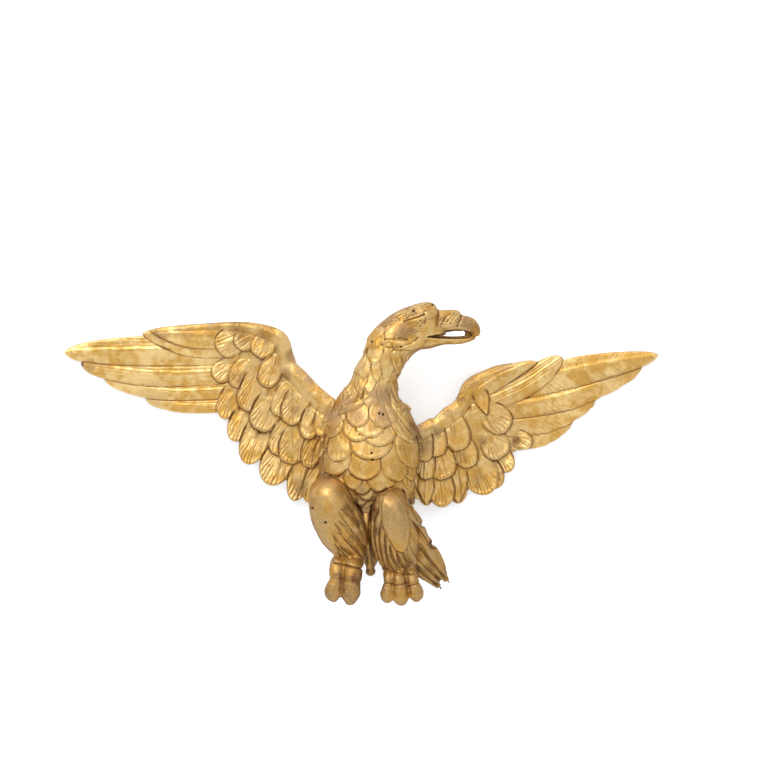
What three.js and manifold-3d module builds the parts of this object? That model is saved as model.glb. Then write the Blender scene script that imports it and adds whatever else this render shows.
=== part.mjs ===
// A carved giltwood eagle with spread wings, made to hang flat against a wall.
//
// Millimetres, +Z up, +X to the viewer's right, the viewer at -Y. The origin is on the flat back, behind
// the breast, and the wall is the plane Y = 0. The carving is three pieces of wood: the body, carved from one
// block with the head, legs and feet, and two wings, each let into a rebate in the body's side.
import * as THREE from "three";
import Module from "manifold-3d";
import { mergeVertices } from "three/addons/utils/BufferGeometryUtils.js";

// Driving dimensions
const LEFT_TIP = [-338, 107]; // the wing tips' x and z, 653 mm apart
const RIGHT_TIP = [315, 105];
const WING_ROOT_THICKNESS = 29; // at the leading edge, where a wing meets the body
const WING_THINS_OUTWARD = 0.078; // loss of thickness for each millimetre out from the body
const WING_THINS_DOWNWARD = 0.115; // and for each millimetre below the leading edge
const TRAILING_THICKNESS = 8.5; // the least a wing is thick, near the body
const TIP_THICKNESS = 6; // and out at the tip
const TIP_REACH = 260; // how far out the least thickness has fallen to the tip's
const BOARD_THICKNESS = 6;
const ARM_PROUD = 3; // how far the rounded leading edge stands in front of the feathers
const BACK_BEVEL = 3; // how far the feathers' edges stand off the wall
const LEFT_JOINT_X = -40; // the body's cheeks, where the wings butt
const RIGHT_JOINT_X = 45;
const REBATE_DEPTH = 31; // from the back to the lip of the body that laps over a wing
const JOINT_GAP = 0.3;
const FEATHER_ROOT_DEPTH = { breast: 5, ring: 4 }; // how far a feather's underside lies inside the body
const EDGE_OF_SIGHT = 0.98; // the sine past which the body's side is too steep to carry a feather
const PLAIN_BEHIND = 0.1; // cosine of the angle past which a round part carries no feathers
const UNDERCUT = 0.9; // the size of a feather's underside beside its top
const LEAST_QUILL_WIDTH = 1.6;
const FAR = 400; // a length past every side of the carving
const GILT = { color: 0xc9973f, roughness: 0.38, metalness: 0.85 };

const { sin, cos, abs, min, max, sign, PI } = Math;
const radians = (degrees) => (degrees * PI) / 180;
const mix = (a, b, t) => a + (b - a) * t;
const clamp = (v, low, high) => max(low, min(high, v));
const wasm = await Module();
wasm.setup();

// Solids

// The closed solid of a list of [x, y, z] points and of triangles that face out.
function solidOf(points, triangles) {
  const geometry = new THREE.BufferGeometry()
    .setAttribute("position", new THREE.Float32BufferAttribute(points.flat(), 3))
    .setIndex(triangles.flat());
  return solidOfGeometry(geometry);
}

function solidOfGeometry(geometry) {
  geometry.deleteAttribute("normal");
  geometry.deleteAttribute("uv");
  const merged = mergeVertices(geometry, 1e-4);
  const solid = new wasm.Manifold(
    new wasm.Mesh({
      numProp: 3,
      vertProperties: merged.attributes.position.array,
      triVerts: new Uint32Array(merged.index.array),
    }),
  );
  if (solid.volume() > 0) return solid;
  return solidOf(
    pointsOf(merged),
    triplesOf(merged.index.array).map(([a, b, c]) => [a, c, b]),
  );
}

const triplesOf = (flat) =>
  Array.from({ length: flat.length / 3 }, (_, i) => [...flat.slice(3 * i, 3 * i + 3)]);
const pointsOf = (geometry) => triplesOf(geometry.attributes.position.array);
const joined = (solids) => solids.reduce((all, one) => all.add(one));

// All of space, as far as this carving goes, between two values of x and two of y.
function slab([lowX, highX], [lowY, highY]) {
  const box = new THREE.BoxGeometry(highX - lowX, highY - lowY, 2 * FAR);
  return solidOfGeometry(box.translate((lowX + highX) / 2, (lowY + highY) / 2, 0));
}

function ballOf([x, y, z], radius) {
  return solidOfGeometry(new THREE.SphereGeometry(radius, 8, 6).translate(x, y, z));
}

// A skin of closed rings of points, one after another, with a point that closes each end.
function skinOf(rings, start, end) {
  const n = rings[0].length;
  const points = [start, ...rings.flat(), end];
  const at = (ring, k) => 1 + ring * n + (k % n);
  const triangles = [];
  for (let k = 0; k < n; k++) {
    triangles.push([0, at(0, k + 1), at(0, k)]);
    triangles.push([points.length - 1, at(rings.length - 1, k), at(rings.length - 1, k + 1)]);
    for (let ring = 0; ring + 1 < rings.length; ring++) {
      triangles.push([at(ring, k), at(ring, k + 1), at(ring + 1, k + 1)]);
      triangles.push([at(ring, k), at(ring + 1, k + 1), at(ring + 1, k)]);
    }
  }
  return solidOf(points, triangles);
}

// The value at s of a smooth curve through values that are numbered from 0.
function through(values, s) {
  const last = values.length - 1;
  const i = clamp(Math.floor(s), 0, last - 1);
  const t = s - i;
  const [a, b, c, d] = [i - 1, i, i + 1, i + 2].map((k) => values[clamp(k, 0, last)]);
  const [linear, square, cubic] = [c - a, 2 * a - 5 * b + 4 * c - d, 3 * b - a - 3 * c + d];
  return b + 0.5 * (linear * t + square * t ** 2 + cubic * t ** 3);
}

// A round form along a spine in the plane of the picture. A station is [x, y, z, half width, half depth], and
// the width is measured in the picture, across the spine. Angle 0 faces the viewer, and 90 degrees is to the
// right of a spine that runs up.
class Form {
  constructor(stations) {
    this.columns = [0, 1, 2, 3, 4].map((c) => stations.map((station) => station[c]));
    this.last = stations.length - 1;
  }
  centre(s) {
    return this.columns.slice(0, 3).map((column) => through(column, s));
  }
  across(s) {
    const [a, b] = [max(0, s - 0.2), min(this.last, s + 0.2)].map((v) => this.centre(v));
    const [dx, dz] = [b[0] - a[0], b[2] - a[2]];
    const length = Math.hypot(dx, dz);
    return [dz / length, -dx / length];
  }
  halfWidth(s) {
    return through(this.columns[3], s);
  }
  halfDepth(s) {
    return through(this.columns[4], s);
  }
  // The point at s and angle, and how far it stands above the surface.
  point(s, angle, height = 0) {
    const [x, y, z] = this.centre(s);
    const [ux, uz] = this.across(s);
    const [a, b] = [this.halfWidth(s), this.halfDepth(s)];
    const normal = [sin(angle) * b, cos(angle) * a];
    const scale = height / Math.hypot(...normal);
    const side = sin(angle) * a + normal[0] * scale;
    const front = cos(angle) * b + normal[1] * scale;
    return [x + ux * side, y - front, z + uz * side];
  }
  // The point seen at x, z in the picture, and how far it stands above the surface. For an upright spine.
  pointAt(x, z, height = 0) {
    const halvings = 24;
    let [low, high] = [0, this.last];
    for (let step = 0; step < halvings; step++) {
      const middle = (low + high) / 2;
      if (this.centre(middle)[2] < z) low = middle;
      else high = middle;
    }
    const side = clamp((x - this.centre(low)[0]) / this.halfWidth(low), -EDGE_OF_SIGHT, EDGE_OF_SIGHT);
    return this.point(low, Math.asin(side), height);
  }
  solid({ rings, sides }) {
    const skin = Array.from({ length: rings }, (_, i) => {
      const s = (this.last * (i + 0.5)) / rings;
      return Array.from({ length: sides }, (_, k) => this.point(s, (-2 * PI * k) / sides));
    });
    return skinOf(skin, this.centre(0), this.centre(this.last));
  }
}

// Feathers

// The x, z of a place on a feather that is set at x, z with its heading in degrees from +X towards +Z.
function onFeather(x, z, heading) {
  const [c, s] = [cos(radians(heading)), sin(radians(heading))];
  return (along, across) => [x + along * c + across * s, z + along * s - across * c];
}

// One feather with a raised crown, laid by place(along, across, height), which reaches down to foot(along,
// across). along runs from minus the half length at the root to the half length at the tip.
function feather(place, foot, shape) {
  const { halfLength, halfWidth, sides = 7, pointed = 0, lift = 4, sink = 2.5, crown = 0.9 } = shape;
  const edge = Array.from({ length: sides }, (_, k) => {
    const angle = (2 * PI * k) / sides;
    const across = (sin(angle) / cos(PI / sides)) * (1 - pointed * max(0, cos(angle)));
    return { along: cos(angle) * halfLength, across: across * halfWidth, tilt: (1 + cos(angle)) / 2 };
  });
  const under = edge.map(({ along, across }) => foot(along * UNDERCUT, across * UNDERCUT));
  const over = edge.map(({ along, across, tilt }) => place(along, across, mix(-sink, lift, tilt)));
  const peak = place(halfLength * 0.1, 0, mix(-sink, lift, 0.55) + crown);
  return skinOf([under, over], foot(0, 0), peak);
}

// One long feather along a line of [x, z] points, with a raised shaft, on a wing surface.
// The shaft sits off the middle: share is how much of the width is on the leading side.
function quill(surface, { line, widths, share = 0.5, lift = 2.6, ridge = 1.8, steps = 4 }) {
  const [xs, zs] = [0, 1].map((c) => line.map((p) => p[c]));
  const rings = Array.from({ length: steps + 1 }, (_, i) => {
    const t = 1 - (1 - i / steps) ** 1.6; // rings crowd towards the tip
    const s = (line.length - 1) * t;
    const [x, z] = [through(xs, s), through(zs, s)];
    const [behind, ahead] = [max(0, s - 0.1), min(line.length - 1, s + 0.1)];
    const [dx, dz] = [through(xs, ahead) - through(xs, behind), through(zs, ahead) - through(zs, behind)];
    const length = Math.hypot(dx, dz);
    const tipRound = (1 - t ** 8) ** 0.75;
    const width = max(LEAST_QUILL_WIDTH, through(widths, (widths.length - 1) * t) * tipRound);
    const up = sign(dx); // the leading side is the upper one, whichever way the feather runs
    const spot = (across) => [x - (up * dz * across) / length, z + (up * dx * across) / length];
    const rise = mix(0, lift, min(1, i / 2));
    const [leading, trailing] = [share * width, -(1 - share) * width];
    const ring = [
      surface.point(...spot(leading), rise * 0.6),
      surface.point(...spot(0), rise + ridge),
      surface.point(...spot(trailing * 0.5), rise + 0.3),
      surface.point(...spot(trailing), rise * 0.5),
      surface.foot(...spot(trailing * UNDERCUT)),
      surface.foot(...spot(leading * UNDERCUT)),
    ];
    return up > 0 ? ring : ring.reverse();
  });
  const middle = (ring) => [0, 1, 2].map((c) => ring.reduce((sum, p) => sum + p[c], 0) / ring.length);
  return skinOf(rings, middle(rings[0]), middle(rings[steps]));
}

// Wings

// The face of a wing: how thick it is at x, z. side is -1 for the viewer's left and 1 for the right.
class WingSurface {
  constructor(side, leadingEdge) {
    this.side = side;
    this.edge = leadingEdge;
  }
  // The height of the leading edge above or below x.
  leading(x) {
    const out = x * this.side;
    const edge = this.edge;
    let i = 0;
    while (i < edge.length - 2 && edge[i + 1][0] * this.side < out) i++;
    const [a, b] = [edge[i], edge[i + 1]];
    return mix(a[1], b[1], clamp((out - a[0] * this.side) / ((b[0] - a[0]) * this.side), 0, 1));
  }
  thickness(x, z) {
    const out = max(0, x * this.side - abs(this.edge[0][0]));
    const below = max(0, this.leading(x) - z);
    const wanted = WING_ROOT_THICKNESS - WING_THINS_OUTWARD * out - WING_THINS_DOWNWARD * below;
    return max(wanted, mix(TRAILING_THICKNESS, TIP_THICKNESS, min(1, out / TIP_REACH)));
  }
  point(x, z, height) {
    return [x, -(this.thickness(x, z) + height), z];
  }
  foot(x, z) {
    return [x, -BACK_BEVEL, z];
  }
}

// A covert is [x, z, half width, half length, heading], the heading in degrees from +X towards +Z.
function covert(surface, [x, z, halfWidth, halfLength, heading]) {
  const spot = onFeather(x, z, heading);
  return feather(
    (along, across, height) => surface.point(...spot(along, across), height),
    (along, across) => surface.foot(...spot(along, across)),
    { halfLength, halfWidth },
  );
}

// A flat board against the wall, from its outline of [x, z] points.
function boardOf(outline, thickness) {
  const shape = new THREE.Shape(outline.map(([x, z]) => new THREE.Vector2(x, z)));
  const geometry = new THREE.ExtrudeGeometry(shape, { depth: thickness, bevelEnabled: false, steps: 1 });
  return solidOfGeometry(geometry.rotateX(PI / 2));
}

// The wing on the viewer's left
const LEFT_EDGE = [
  [-20, 44], [-42, 57], [-59, 71], [-72, 85], [-86, 98], [-88, 111], [-93, 125], [-105, 134], [-124, 139],
  [-150, 141], [-196, 138], [-234, 133], [-253, 128], [-280, 125], [-308, 118], LEFT_TIP,
];
// Half the width and half the depth of the rounded leading edge, at the outline's first points in turn.
const LEFT_ARM = [
  [15, 14], [15, 14], [14, 14], [13, 14], [12.5, 14], [12, 13.5], [11.5, 13], [11, 12], [10, 10.5], [8, 9],
  [5, 6], [2, 3],
];
const LEFT_COVERTS = [
  [-63, -33, 11, 26, 252], [-79, -31, 13, 26, 252], [-105, -16, 18, 24, 246], [-129, 10, 16, 27, 250],
  [-145, 29, 13, 21, 246], [-156, 54, 12.5, 21.5, 248], [-163, 87, 12, 13, 220],
  [-65, 1, 12, 20.5, 254], [-86, 7, 16, 22, 252], [-99, 15, 13, 21, 250], [-115.5, 43, 17, 23.5, 244],
  [-130, 67, 16, 25, 248], [-142.5, 85, 13, 18, 238], [-154.5, 119, 16, 17.5, 215],
  [-52, 35, 11.5, 20, 256], [-66, 32, 12.5, 20, 252], [-83.5, 50, 15, 23, 248], [-96, 57, 13, 21, 246],
  [-110.5, 88, 13, 19.5, 246], [-138, 122, 12.5, 13.5, 215], [-119, 115, 13.5, 14, 232],
];
const LEFT_QUILLS = [
  { line: [[-150, 50], [-205, 49], [-249, 57]], widths: [16, 17, 17], share: 0.5, lift: 1.4 },
  { line: [[-150, 66], [-235, 65], [-295, 80]], widths: [18, 20, 20], share: 0.5, lift: 1.8 },
  { line: [[-150, 86], [-240, 84], [-320, 95]], widths: [22, 26, 25], share: 0.45, lift: 2.2 },
  { line: [[-150, 110], [-250, 110], LEFT_TIP], widths: [30, 33, 24], share: 0.47, lift: 2.6 },
  { line: [[-150, 120], [-205, 121], [-252, 128]], widths: [38, 34, 12], share: 0.5, lift: 4.2 },
  { line: [[-150, 126], [-200, 125], [-243, 131]], widths: [28, 26, 10], share: 0.5, lift: 6 },
];
const LEFT_BOARD = [
  [-38, 46], [-62, 62], [-82, 92], [-92, 120], [-120, 132], [-190, 132], [-280, 116], [-315, 106],
  [-290, 86], [-235, 64], [-168, 52], [-150, 22], [-130, -4], [-104, -28], [-72, -46], [-38, -50],
];

// The wing on the viewer's right
const RIGHT_EDGE = [
  [25, 24], [45, 26], [59, 32], [69, 36], [78, 45], [90, 53], [95, 62], [100, 73], [109, 81], [122, 87],
  [137, 93], [154, 96], [181, 97], [200, 102], [239, 104], [296, 107], RIGHT_TIP,
];
const RIGHT_ARM = [
  [13, 14], [13, 14], [13, 14], [13, 14], [13, 14], [12.5, 14], [12, 13.5], [12, 13], [11, 12], [9, 10.5],
  [6, 8], [3, 5],
];
const RIGHT_COVERTS = [
  [60, -41, 11, 22, 270], [78, -41, 14, 22, 278], [98, -33, 14, 25, 290], [119, -22, 15, 28, 296],
  [135, -20, 12, 22, 304], [146, -8, 11, 16, 308], [164, 11, 10, 12, 332],
  [58, -11, 10, 19, 278], [76, -9, 15, 22, 284], [98, 1, 14, 20, 294], [135, 6, 17, 17, 300],
  [135, 34, 17, 18, 322],
  [56, 8, 12, 20, 276], [68, 14, 14, 21, 282], [87, 22, 18, 22, 290], [120, 56, 8, 18, 288],
];
const RIGHT_QUILLS = [
  { line: [[140, 16], [182, 19], [221, 33]], widths: [24, 23, 13], share: 0.3, lift: 1.2 },
  { line: [[135, 30], [190, 37], [246, 56]], widths: [22, 25, 16], share: 0.28, lift: 1.6 },
  { line: [[135, 47], [212, 61], [297, 92]], widths: [22, 26, 19], share: 0.32, lift: 2 },
  { line: [[135, 66], [225, 90], RIGHT_TIP], widths: [26, 33, 19], share: 0.38, lift: 2.6 },
  { line: [[118, 50], [170, 75], [209, 102]], widths: [26, 30, 20], share: 0.5, lift: 4.6 },
  { line: [[104, 58], [146, 82], [181, 97]], widths: [22, 20, 10], share: 0.5, lift: 5.4 },
];
const RIGHT_BOARD = [
  [43, 20], [70, 30], [98, 62], [122, 80], [190, 92], [250, 98], [292, 98],
  [270, 76], [214, 40], [178, 12], [150, -6], [134, -32], [110, -42], [80, -54], [43, -54],
];

// The rounded leading edge from the shoulder out past the wrist, set in from the outline by half its width.
function armForm(surface, edge, arm) {
  return new Form(
    arm.map(([halfWidth, halfDepth], i) => {
      const [ahead, behind] = [edge[min(i + 1, edge.length - 1)], edge[max(i - 1, 0)]];
      const [dx, dz] = [ahead[0] - behind[0], ahead[1] - behind[1]];
      const inward = (halfWidth * surface.side) / Math.hypot(dx, dz);
      const [x, z] = [edge[i][0] + dz * inward, edge[i][1] - dx * inward];
      return [x, halfDepth - surface.thickness(x, z) - ARM_PROUD, z, halfWidth, halfDepth];
    }),
  );
}

function wing({ side, edge, arm, coverts, quills, board }) {
  const surface = new WingSurface(side, edge);
  return joined([
    boardOf(board, BOARD_THICKNESS),
    armForm(surface, edge, arm).solid({ rings: 12, sides: 6 }),
    ...quills.map((shape) => quill(surface, shape)),
    ...coverts.map((one) => covert(surface, one)),
  ]);
}

// Body

// From the belly's end up through the breast and the neck, which turns to the right, to the head's front.
const TRUNK = new Form([
  [-1.5, -42, -131, 5, 6], [-2, -31, -108, 16, 18], [-4, -29, -83, 32, 28], [-3, -31, -60, 46, 36],
  [-3, -33, -38, 51, 41], [-4, -34, -14, 53.5, 45], [-1, -34, 9, 54.5, 46], [-1, -34, 35, 46.5, 43],
  [-1, -37, 53, 38, 36], [1, -42, 65, 28.5, 30], [4.6, -45, 81, 24.5, 26], [10.6, -48, 95, 22.5, 24.5],
  [15.5, -49, 107, 24, 24], [22, -50, 117, 25, 23], [32, -51, 126, 25, 22], [43, -52, 132.5, 24.5, 21.5],
  [56, -52, 137, 24.5, 20.5], [67, -52, 139, 23.5, 18], [74, -52, 140.5, 19, 14], [79.5, -52, 142, 8, 7],
]);
const UPPER_BEAK = new Form([
  [58, -52, 137, 14, 15], [72, -52, 141, 12.5, 14], [86, -52, 141.5, 12, 12], [97, -52, 139.5, 9.3, 9.5],
  [107, -52, 136.5, 9, 8], [113.5, -52, 131, 6, 6.5], [117, -52, 124.5, 1.5, 3],
]);
const LOWER_BEAK = new Form([
  [50, -52, 120, 10, 14], [64, -52, 119, 7.5, 12], [78, -52, 120.8, 5.2, 10], [92, -52, 120.5, 4.8, 8],
  [104, -52, 121.8, 3.8, 6], [114, -52, 124, 2.5, 4],
]);
const LEFT_LEG = new Form([
  [-53, -58, -29, 9, 12], [-51, -68, -38, 18, 24], [-46.5, -71, -54, 24, 28], [-41, -71, -70, 26.5, 28],
  [-34, -70, -86, 26, 26], [-27, -68, -100, 23, 23], [-23.5, -67, -112, 18.5, 18], [-22.5, -67, -124, 14, 14],
]);
const RIGHT_LEG = new Form([
  [19, -58, -41, 8, 12], [20, -68, -48, 16, 23], [20, -72, -59, 20, 27], [23, -72, -74, 24, 27],
  [25, -71, -90, 26, 25], [27, -70, -108, 25, 22], [29, -69, -122, 21, 18], [30, -69, -134, 17, 14],
]);
// Tufts of the right leg, which sweep out to the right and end in points.
const RIGHT_TUFTS = [
  [[34, -66, -58, 8, 10], [46, -63, -78, 11, 12], [57, -59, -96, 8, 8], [69, -55, -108, 1.5, 2.5]],
  [
    [38, -63, -84, 14, 14], [56, -60, -106, 15, 12], [70, -56, -126, 13, 9], [82, -53, -141, 5, 5],
    [86, -52, -147.5, 1.2, 2],
  ],
  [
    [34, -62, -106, 14, 12], [50, -60, -124, 14, 11], [63, -57, -138, 10, 8], [73, -54, -148, 4.5, 4],
    [77.5, -53, -154, 1.2, 2],
  ],
];

// The block behind the breast that the wings butt against.
const BACK_BLOCK = [
  [LEFT_JOINT_X, -48], [LEFT_JOINT_X, 48], [-32, 50], [24, 48], [34, 40], [RIGHT_JOINT_X, 27],
  [RIGHT_JOINT_X, -56], [20, -80], [-20, -80],
];

// Breast and belly feathers, each [x, z, half width, half length, heading], from the lowest up.
const BREAST = [
  [-4, -67, 8, 11, 270], [-10, -50, 11, 12, 268], [6, -48, 11, 12, 284], [-22, -42, 11, 13, 264],
  [34, -36, 15, 18, 282], [10, -30, 16, 16, 276], [-10, -16, 18, 17, 270], [44, -16, 12, 21, 276],
  [23, -10, 14, 19, 284], [-40, -6, 17, 22, 262], [-46, 10, 11, 15, 258], [-37, 4, 15, 16, 266],
  [38, 6, 16, 22, 288], [-1, 9, 24, 22, 270], [8, 22, 20, 20, 276], [-16, 26, 17, 20, 266],
  [-2, 30, 18, 18, 270], [-45, 32, 12, 16, 254], [42, 30, 10, 18, 288], [-15, 42, 15, 18, 264],
  [12, 42, 16, 20, 274],
];
// Rows of narrower feathers up the neck: the station, how many, the half width, the half length and the turn.
const NECK_ROWS = [
  { s: 9.3, count: 8, halfWidth: 11, halfLength: 13, turn: 0 },
  { s: 10.3, count: 7, halfWidth: 10.5, halfLength: 13, turn: 0.5 },
  { s: 11.5, count: 7, halfWidth: 10, halfLength: 12, turn: 0 },
  { s: 12.9, count: 7, halfWidth: 10, halfLength: 11, turn: 0.5 },
];
const LEG_LOCKS = [
  { form: LEFT_LEG, s: 5.5, count: 8, halfWidth: 7, halfLength: 17 },
  { form: LEFT_LEG, s: 4.2, count: 8, halfWidth: 9, halfLength: 17, turn: 0.5 },
  { form: RIGHT_LEG, s: 5.6, count: 8, halfWidth: 7.5, halfLength: 17 },
  { form: RIGHT_LEG, s: 4.3, count: 8, halfWidth: 9, halfLength: 17, turn: 0.5 },
];

function breastFeather([x, z, halfWidth, halfLength, heading]) {
  const spot = onFeather(x, z, heading);
  return feather(
    (along, across, height) => TRUNK.pointAt(...spot(along, across), height),
    (along, across) => TRUNK.pointAt(...spot(along, across), -FEATHER_ROOT_DEPTH.breast),
    { halfLength, halfWidth, lift: 2.8 },
  );
}

// Feathers in a ring round a form, their tips towards its start or, for a leg, its end.
function ringOfFeathers(form, { s, count, halfWidth, halfLength, turn = 0, towards = -1 }) {
  const spacing = form.centre(s + 0.5).map((v, i) => v - form.centre(s - 0.5)[i]);
  const stationLength = Math.hypot(...spacing);
  const girth = (form.halfWidth(s) + form.halfDepth(s)) / 2;
  const turns = Array.from({ length: count }, (_, k) => (2 * PI * (k + turn)) / count);
  const shown = turns.filter((angle) => cos(angle) > PLAIN_BEHIND);
  return shown.map((angle) => {
    const where = (along, across) => [s + (towards * along) / stationLength, angle + across / girth];
    return feather(
      (along, across, height) => form.point(...where(along, across), height),
      (along, across) => form.point(...where(along, across), -FEATHER_ROOT_DEPTH.ring),
      { halfLength, halfWidth, sides: 5, pointed: 0.2, lift: 2.6, crown: 0.8 },
    );
  });
}

// Feet

// A toe runs out from the foot over a knuckle and down to the claw, curled under. Its joints are [x, y, z,
// radius].
function toe(joints) {
  const xs = [0, 1, 2, 3].map((c) => joints.map((joint) => joint[c]));
  const [rounds, sides] = [6, 6];
  const rings = Array.from({ length: rounds }, (_, i) => {
    const s = mix(0.1, joints.length - 1.2, i / (rounds - 1));
    const centre = new THREE.Vector3(through(xs[0], s), through(xs[1], s), through(xs[2], s));
    const ahead = new THREE.Vector3(...[0, 1, 2].map((c) => through(xs[c], s + 0.1)));
    const along = ahead.sub(centre).normalize();
    const across = new THREE.Vector3(1, 0, 0).addScaledVector(along, -along.x).normalize();
    const up = new THREE.Vector3().crossVectors(along, across);
    const radius = through(xs[3], s);
    return Array.from({ length: sides }, (_, k) => {
      const angle = (2 * PI * k) / sides;
      const spot = centre.clone().addScaledVector(across, cos(angle) * radius);
      return spot.addScaledVector(up, sin(angle) * radius).toArray();
    });
  });
  const [first, last] = [joints[0], joints[joints.length - 1]];
  return skinOf(rings, first.slice(0, 3), [last[0], last[1] + 1, last[2] - last[3] * 0.6]);
}
const TOES = [
  [[-35, -64, -122, 10], [-38, -82, -130, 9], [-41, -90, -143, 8], [-42, -84, -155, 9], [-41, -74, -160, 4]],
  [[-22, -64, -122, 11], [-22, -84, -131, 10], [-23, -92, -145, 9], [-23, -86, -157, 9], [-23, -75, -163, 4]],
  [[24, -62, -130, 9], [19, -80, -138, 7.5], [17, -88, -148, 6.5], [16.6, -84, -157, 8], [17, -75, -163, 4]],
  [[31, -62, -130, 10], [31, -82, -138, 8], [31.5, -90, -149, 7.5], [32, -86, -160, 8.5], [32, -76, -165, 4]],
  [[39, -62, -130, 9], [44, -80, -138, 7.5], [47.5, -88, -147, 7], [48.5, -84, -155, 8], [48, -75, -160, 4]],
];
const HIND_TOES = [
  [[-28, -60, -122, 11], [-30, -48, -134, 9], [-31, -47, -147, 7], [-31, -56, -155, 3]],
  [[31, -58, -130, 12], [33, -48, -142, 9], [33, -48, -153, 7], [33, -57, -160, 3]],
];

// Head

// The open beak's mouth: a slot right through, closed in front by the hooked tip.
function mouth() {
  const [backX, frontX, hookX] = [58, 98, 108.5];
  const shape = new THREE.Shape();
  shape.moveTo(backX, 123.2);
  shape.quadraticCurveTo(78, 128, frontX, 130.8);
  shape.quadraticCurveTo(104, 131, hookX, 125);
  shape.quadraticCurveTo(85, 126.5, backX, 121.6);
  const geometry = new THREE.ExtrudeGeometry(shape, { depth: FAR, bevelEnabled: false, curveSegments: 5 });
  return solidOfGeometry(geometry.rotateX(PI / 2));
}
const BUTTON = [-1.5, -44, -132]; // a small knob between the feet
const BUTTON_RADIUS = 5.5;
const BROW = new Form([
  [34, -70, 140, 3, 3], [48, -72.5, 144, 4.5, 4.5], [61, -71, 148, 5, 5], [73, -65, 150, 3, 4],
]);
const CHEEK = new Form([
  [16, -70, 122, 4, 3], [30, -72, 116, 6, 4], [46, -70, 116, 6, 4], [60, -67, 121, 3, 3],
]);
const EYE = [52, -71, 139.5];
const EYE_RADIUS = 4;

const BEHIND_THE_WALL = slab([-FAR, FAR], [0, FAR]);

function body() {
  const leg = { rings: 7, sides: 9 };
  const small = { rings: 5, sides: 6 };
  const head = joined([
    TRUNK.solid({ rings: 21, sides: 12 }),
    UPPER_BEAK.solid({ rings: 8, sides: 8 }),
    LOWER_BEAK.solid(small),
  ]);
  const whole = joined([
    head.subtract(mouth()),
    boardOf(BACK_BLOCK, REBATE_DEPTH),
    LEFT_LEG.solid(leg),
    RIGHT_LEG.solid(leg),
    ballOf(BUTTON, BUTTON_RADIUS),
    ...RIGHT_TUFTS.map((stations) => new Form(stations).solid({ rings: 5, sides: 5 })),
    ...BREAST.map(breastFeather),
    ...NECK_ROWS.flatMap((row) => ringOfFeathers(TRUNK, row)),
    ...LEG_LOCKS.flatMap(({ form, ...row }) => ringOfFeathers(form, { ...row, towards: 1 })),
    ...TOES.map(toe),
    ...HIND_TOES.map(toe),
    BROW.solid(small),
    CHEEK.solid(small),
    ballOf(EYE, EYE_RADIUS),
  ]);
  const leftSeat = slab([-FAR, LEFT_JOINT_X], [-REBATE_DEPTH, FAR]);
  const rightSeat = slab([RIGHT_JOINT_X, FAR], [-REBATE_DEPTH, FAR]);
  return whole.subtract(BEHIND_THE_WALL).subtract(leftSeat).subtract(rightSeat);
}

// A wing cut off square at its joint, and clear of the body all round.
function fitted(solid, side, jointX, bodySolid) {
  const face = jointX + side * JOINT_GAP;
  const inward = side > 0 ? [-FAR, face] : [face, FAR];
  const shifts = [[0, 0, 0], [side * JOINT_GAP, 0, 0], [0, JOINT_GAP, 0]];
  const rough = solid.subtract(slab(inward, [-FAR, FAR])).subtract(BEHIND_THE_WALL);
  return shifts.reduce((rest, shift) => rest.subtract(bodySolid.translate(shift)), rough);
}

function largestPiece(solid) {
  return solid.decompose().reduce((best, one) => (one.volume() > best.volume() ? one : best));
}

function meshOf(name, solid) {
  const { vertProperties, triVerts } = solid.getMesh();
  const geometry = new THREE.BufferGeometry()
    .setAttribute("position", new THREE.BufferAttribute(new Float32Array(vertProperties), 3))
    .setIndex(new THREE.BufferAttribute(triVerts, 1));
  const mesh = new THREE.Mesh(geometry, new THREE.MeshStandardMaterial(GILT));
  mesh.name = name;
  return mesh;
}

const bodySolid = largestPiece(body());
const leftWing = wing({
  side: -1, edge: LEFT_EDGE, arm: LEFT_ARM, coverts: LEFT_COVERTS, quills: LEFT_QUILLS, board: LEFT_BOARD,
});
const rightWing = wing({
  side: 1, edge: RIGHT_EDGE, arm: RIGHT_ARM, coverts: RIGHT_COVERTS, quills: RIGHT_QUILLS, board: RIGHT_BOARD,
});
const eagle = new THREE.Group();
eagle.add(
  meshOf("body", bodySolid),
  meshOf("wing_left", largestPiece(fitted(leftWing, -1, LEFT_JOINT_X, bodySolid))),
  meshOf("wing_right", largestPiece(fitted(rightWing, 1, RIGHT_JOINT_X, bodySolid))),
);
export default eagle;
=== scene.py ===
"""A carved giltwood eagle with spread wings, its head turned in profile, made to hang flat against a wall.

The body with its head, legs and feet is one carving, and each wing is another. Every one is modelled from
rounded forms and flat blanks that are fused together, carved by moving its vertices, and then gilded.
"""
import itertools
import math

import bpy
import numpy as np
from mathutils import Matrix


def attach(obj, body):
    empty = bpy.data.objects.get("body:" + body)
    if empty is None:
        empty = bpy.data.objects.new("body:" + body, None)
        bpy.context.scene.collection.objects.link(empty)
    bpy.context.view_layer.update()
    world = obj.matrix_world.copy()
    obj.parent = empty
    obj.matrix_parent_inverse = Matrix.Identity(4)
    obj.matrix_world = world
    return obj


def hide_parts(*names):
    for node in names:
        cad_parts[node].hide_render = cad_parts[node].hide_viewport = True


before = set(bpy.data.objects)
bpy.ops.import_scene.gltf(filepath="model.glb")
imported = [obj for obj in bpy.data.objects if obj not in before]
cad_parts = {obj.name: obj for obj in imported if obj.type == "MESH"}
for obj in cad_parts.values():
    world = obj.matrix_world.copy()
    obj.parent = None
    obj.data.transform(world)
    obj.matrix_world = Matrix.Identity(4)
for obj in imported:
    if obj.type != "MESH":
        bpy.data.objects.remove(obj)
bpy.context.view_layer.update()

bl_info = {
    "name": "Giltwood eagle",
    "version": (1, 0, 0),
    "blender": (4, 5, 0),
    "location": "View3D > Sidebar > Eagle",
    "description": "Carves and gilds a wall eagle with spread wings",
    "category": "Object",
}

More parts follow.
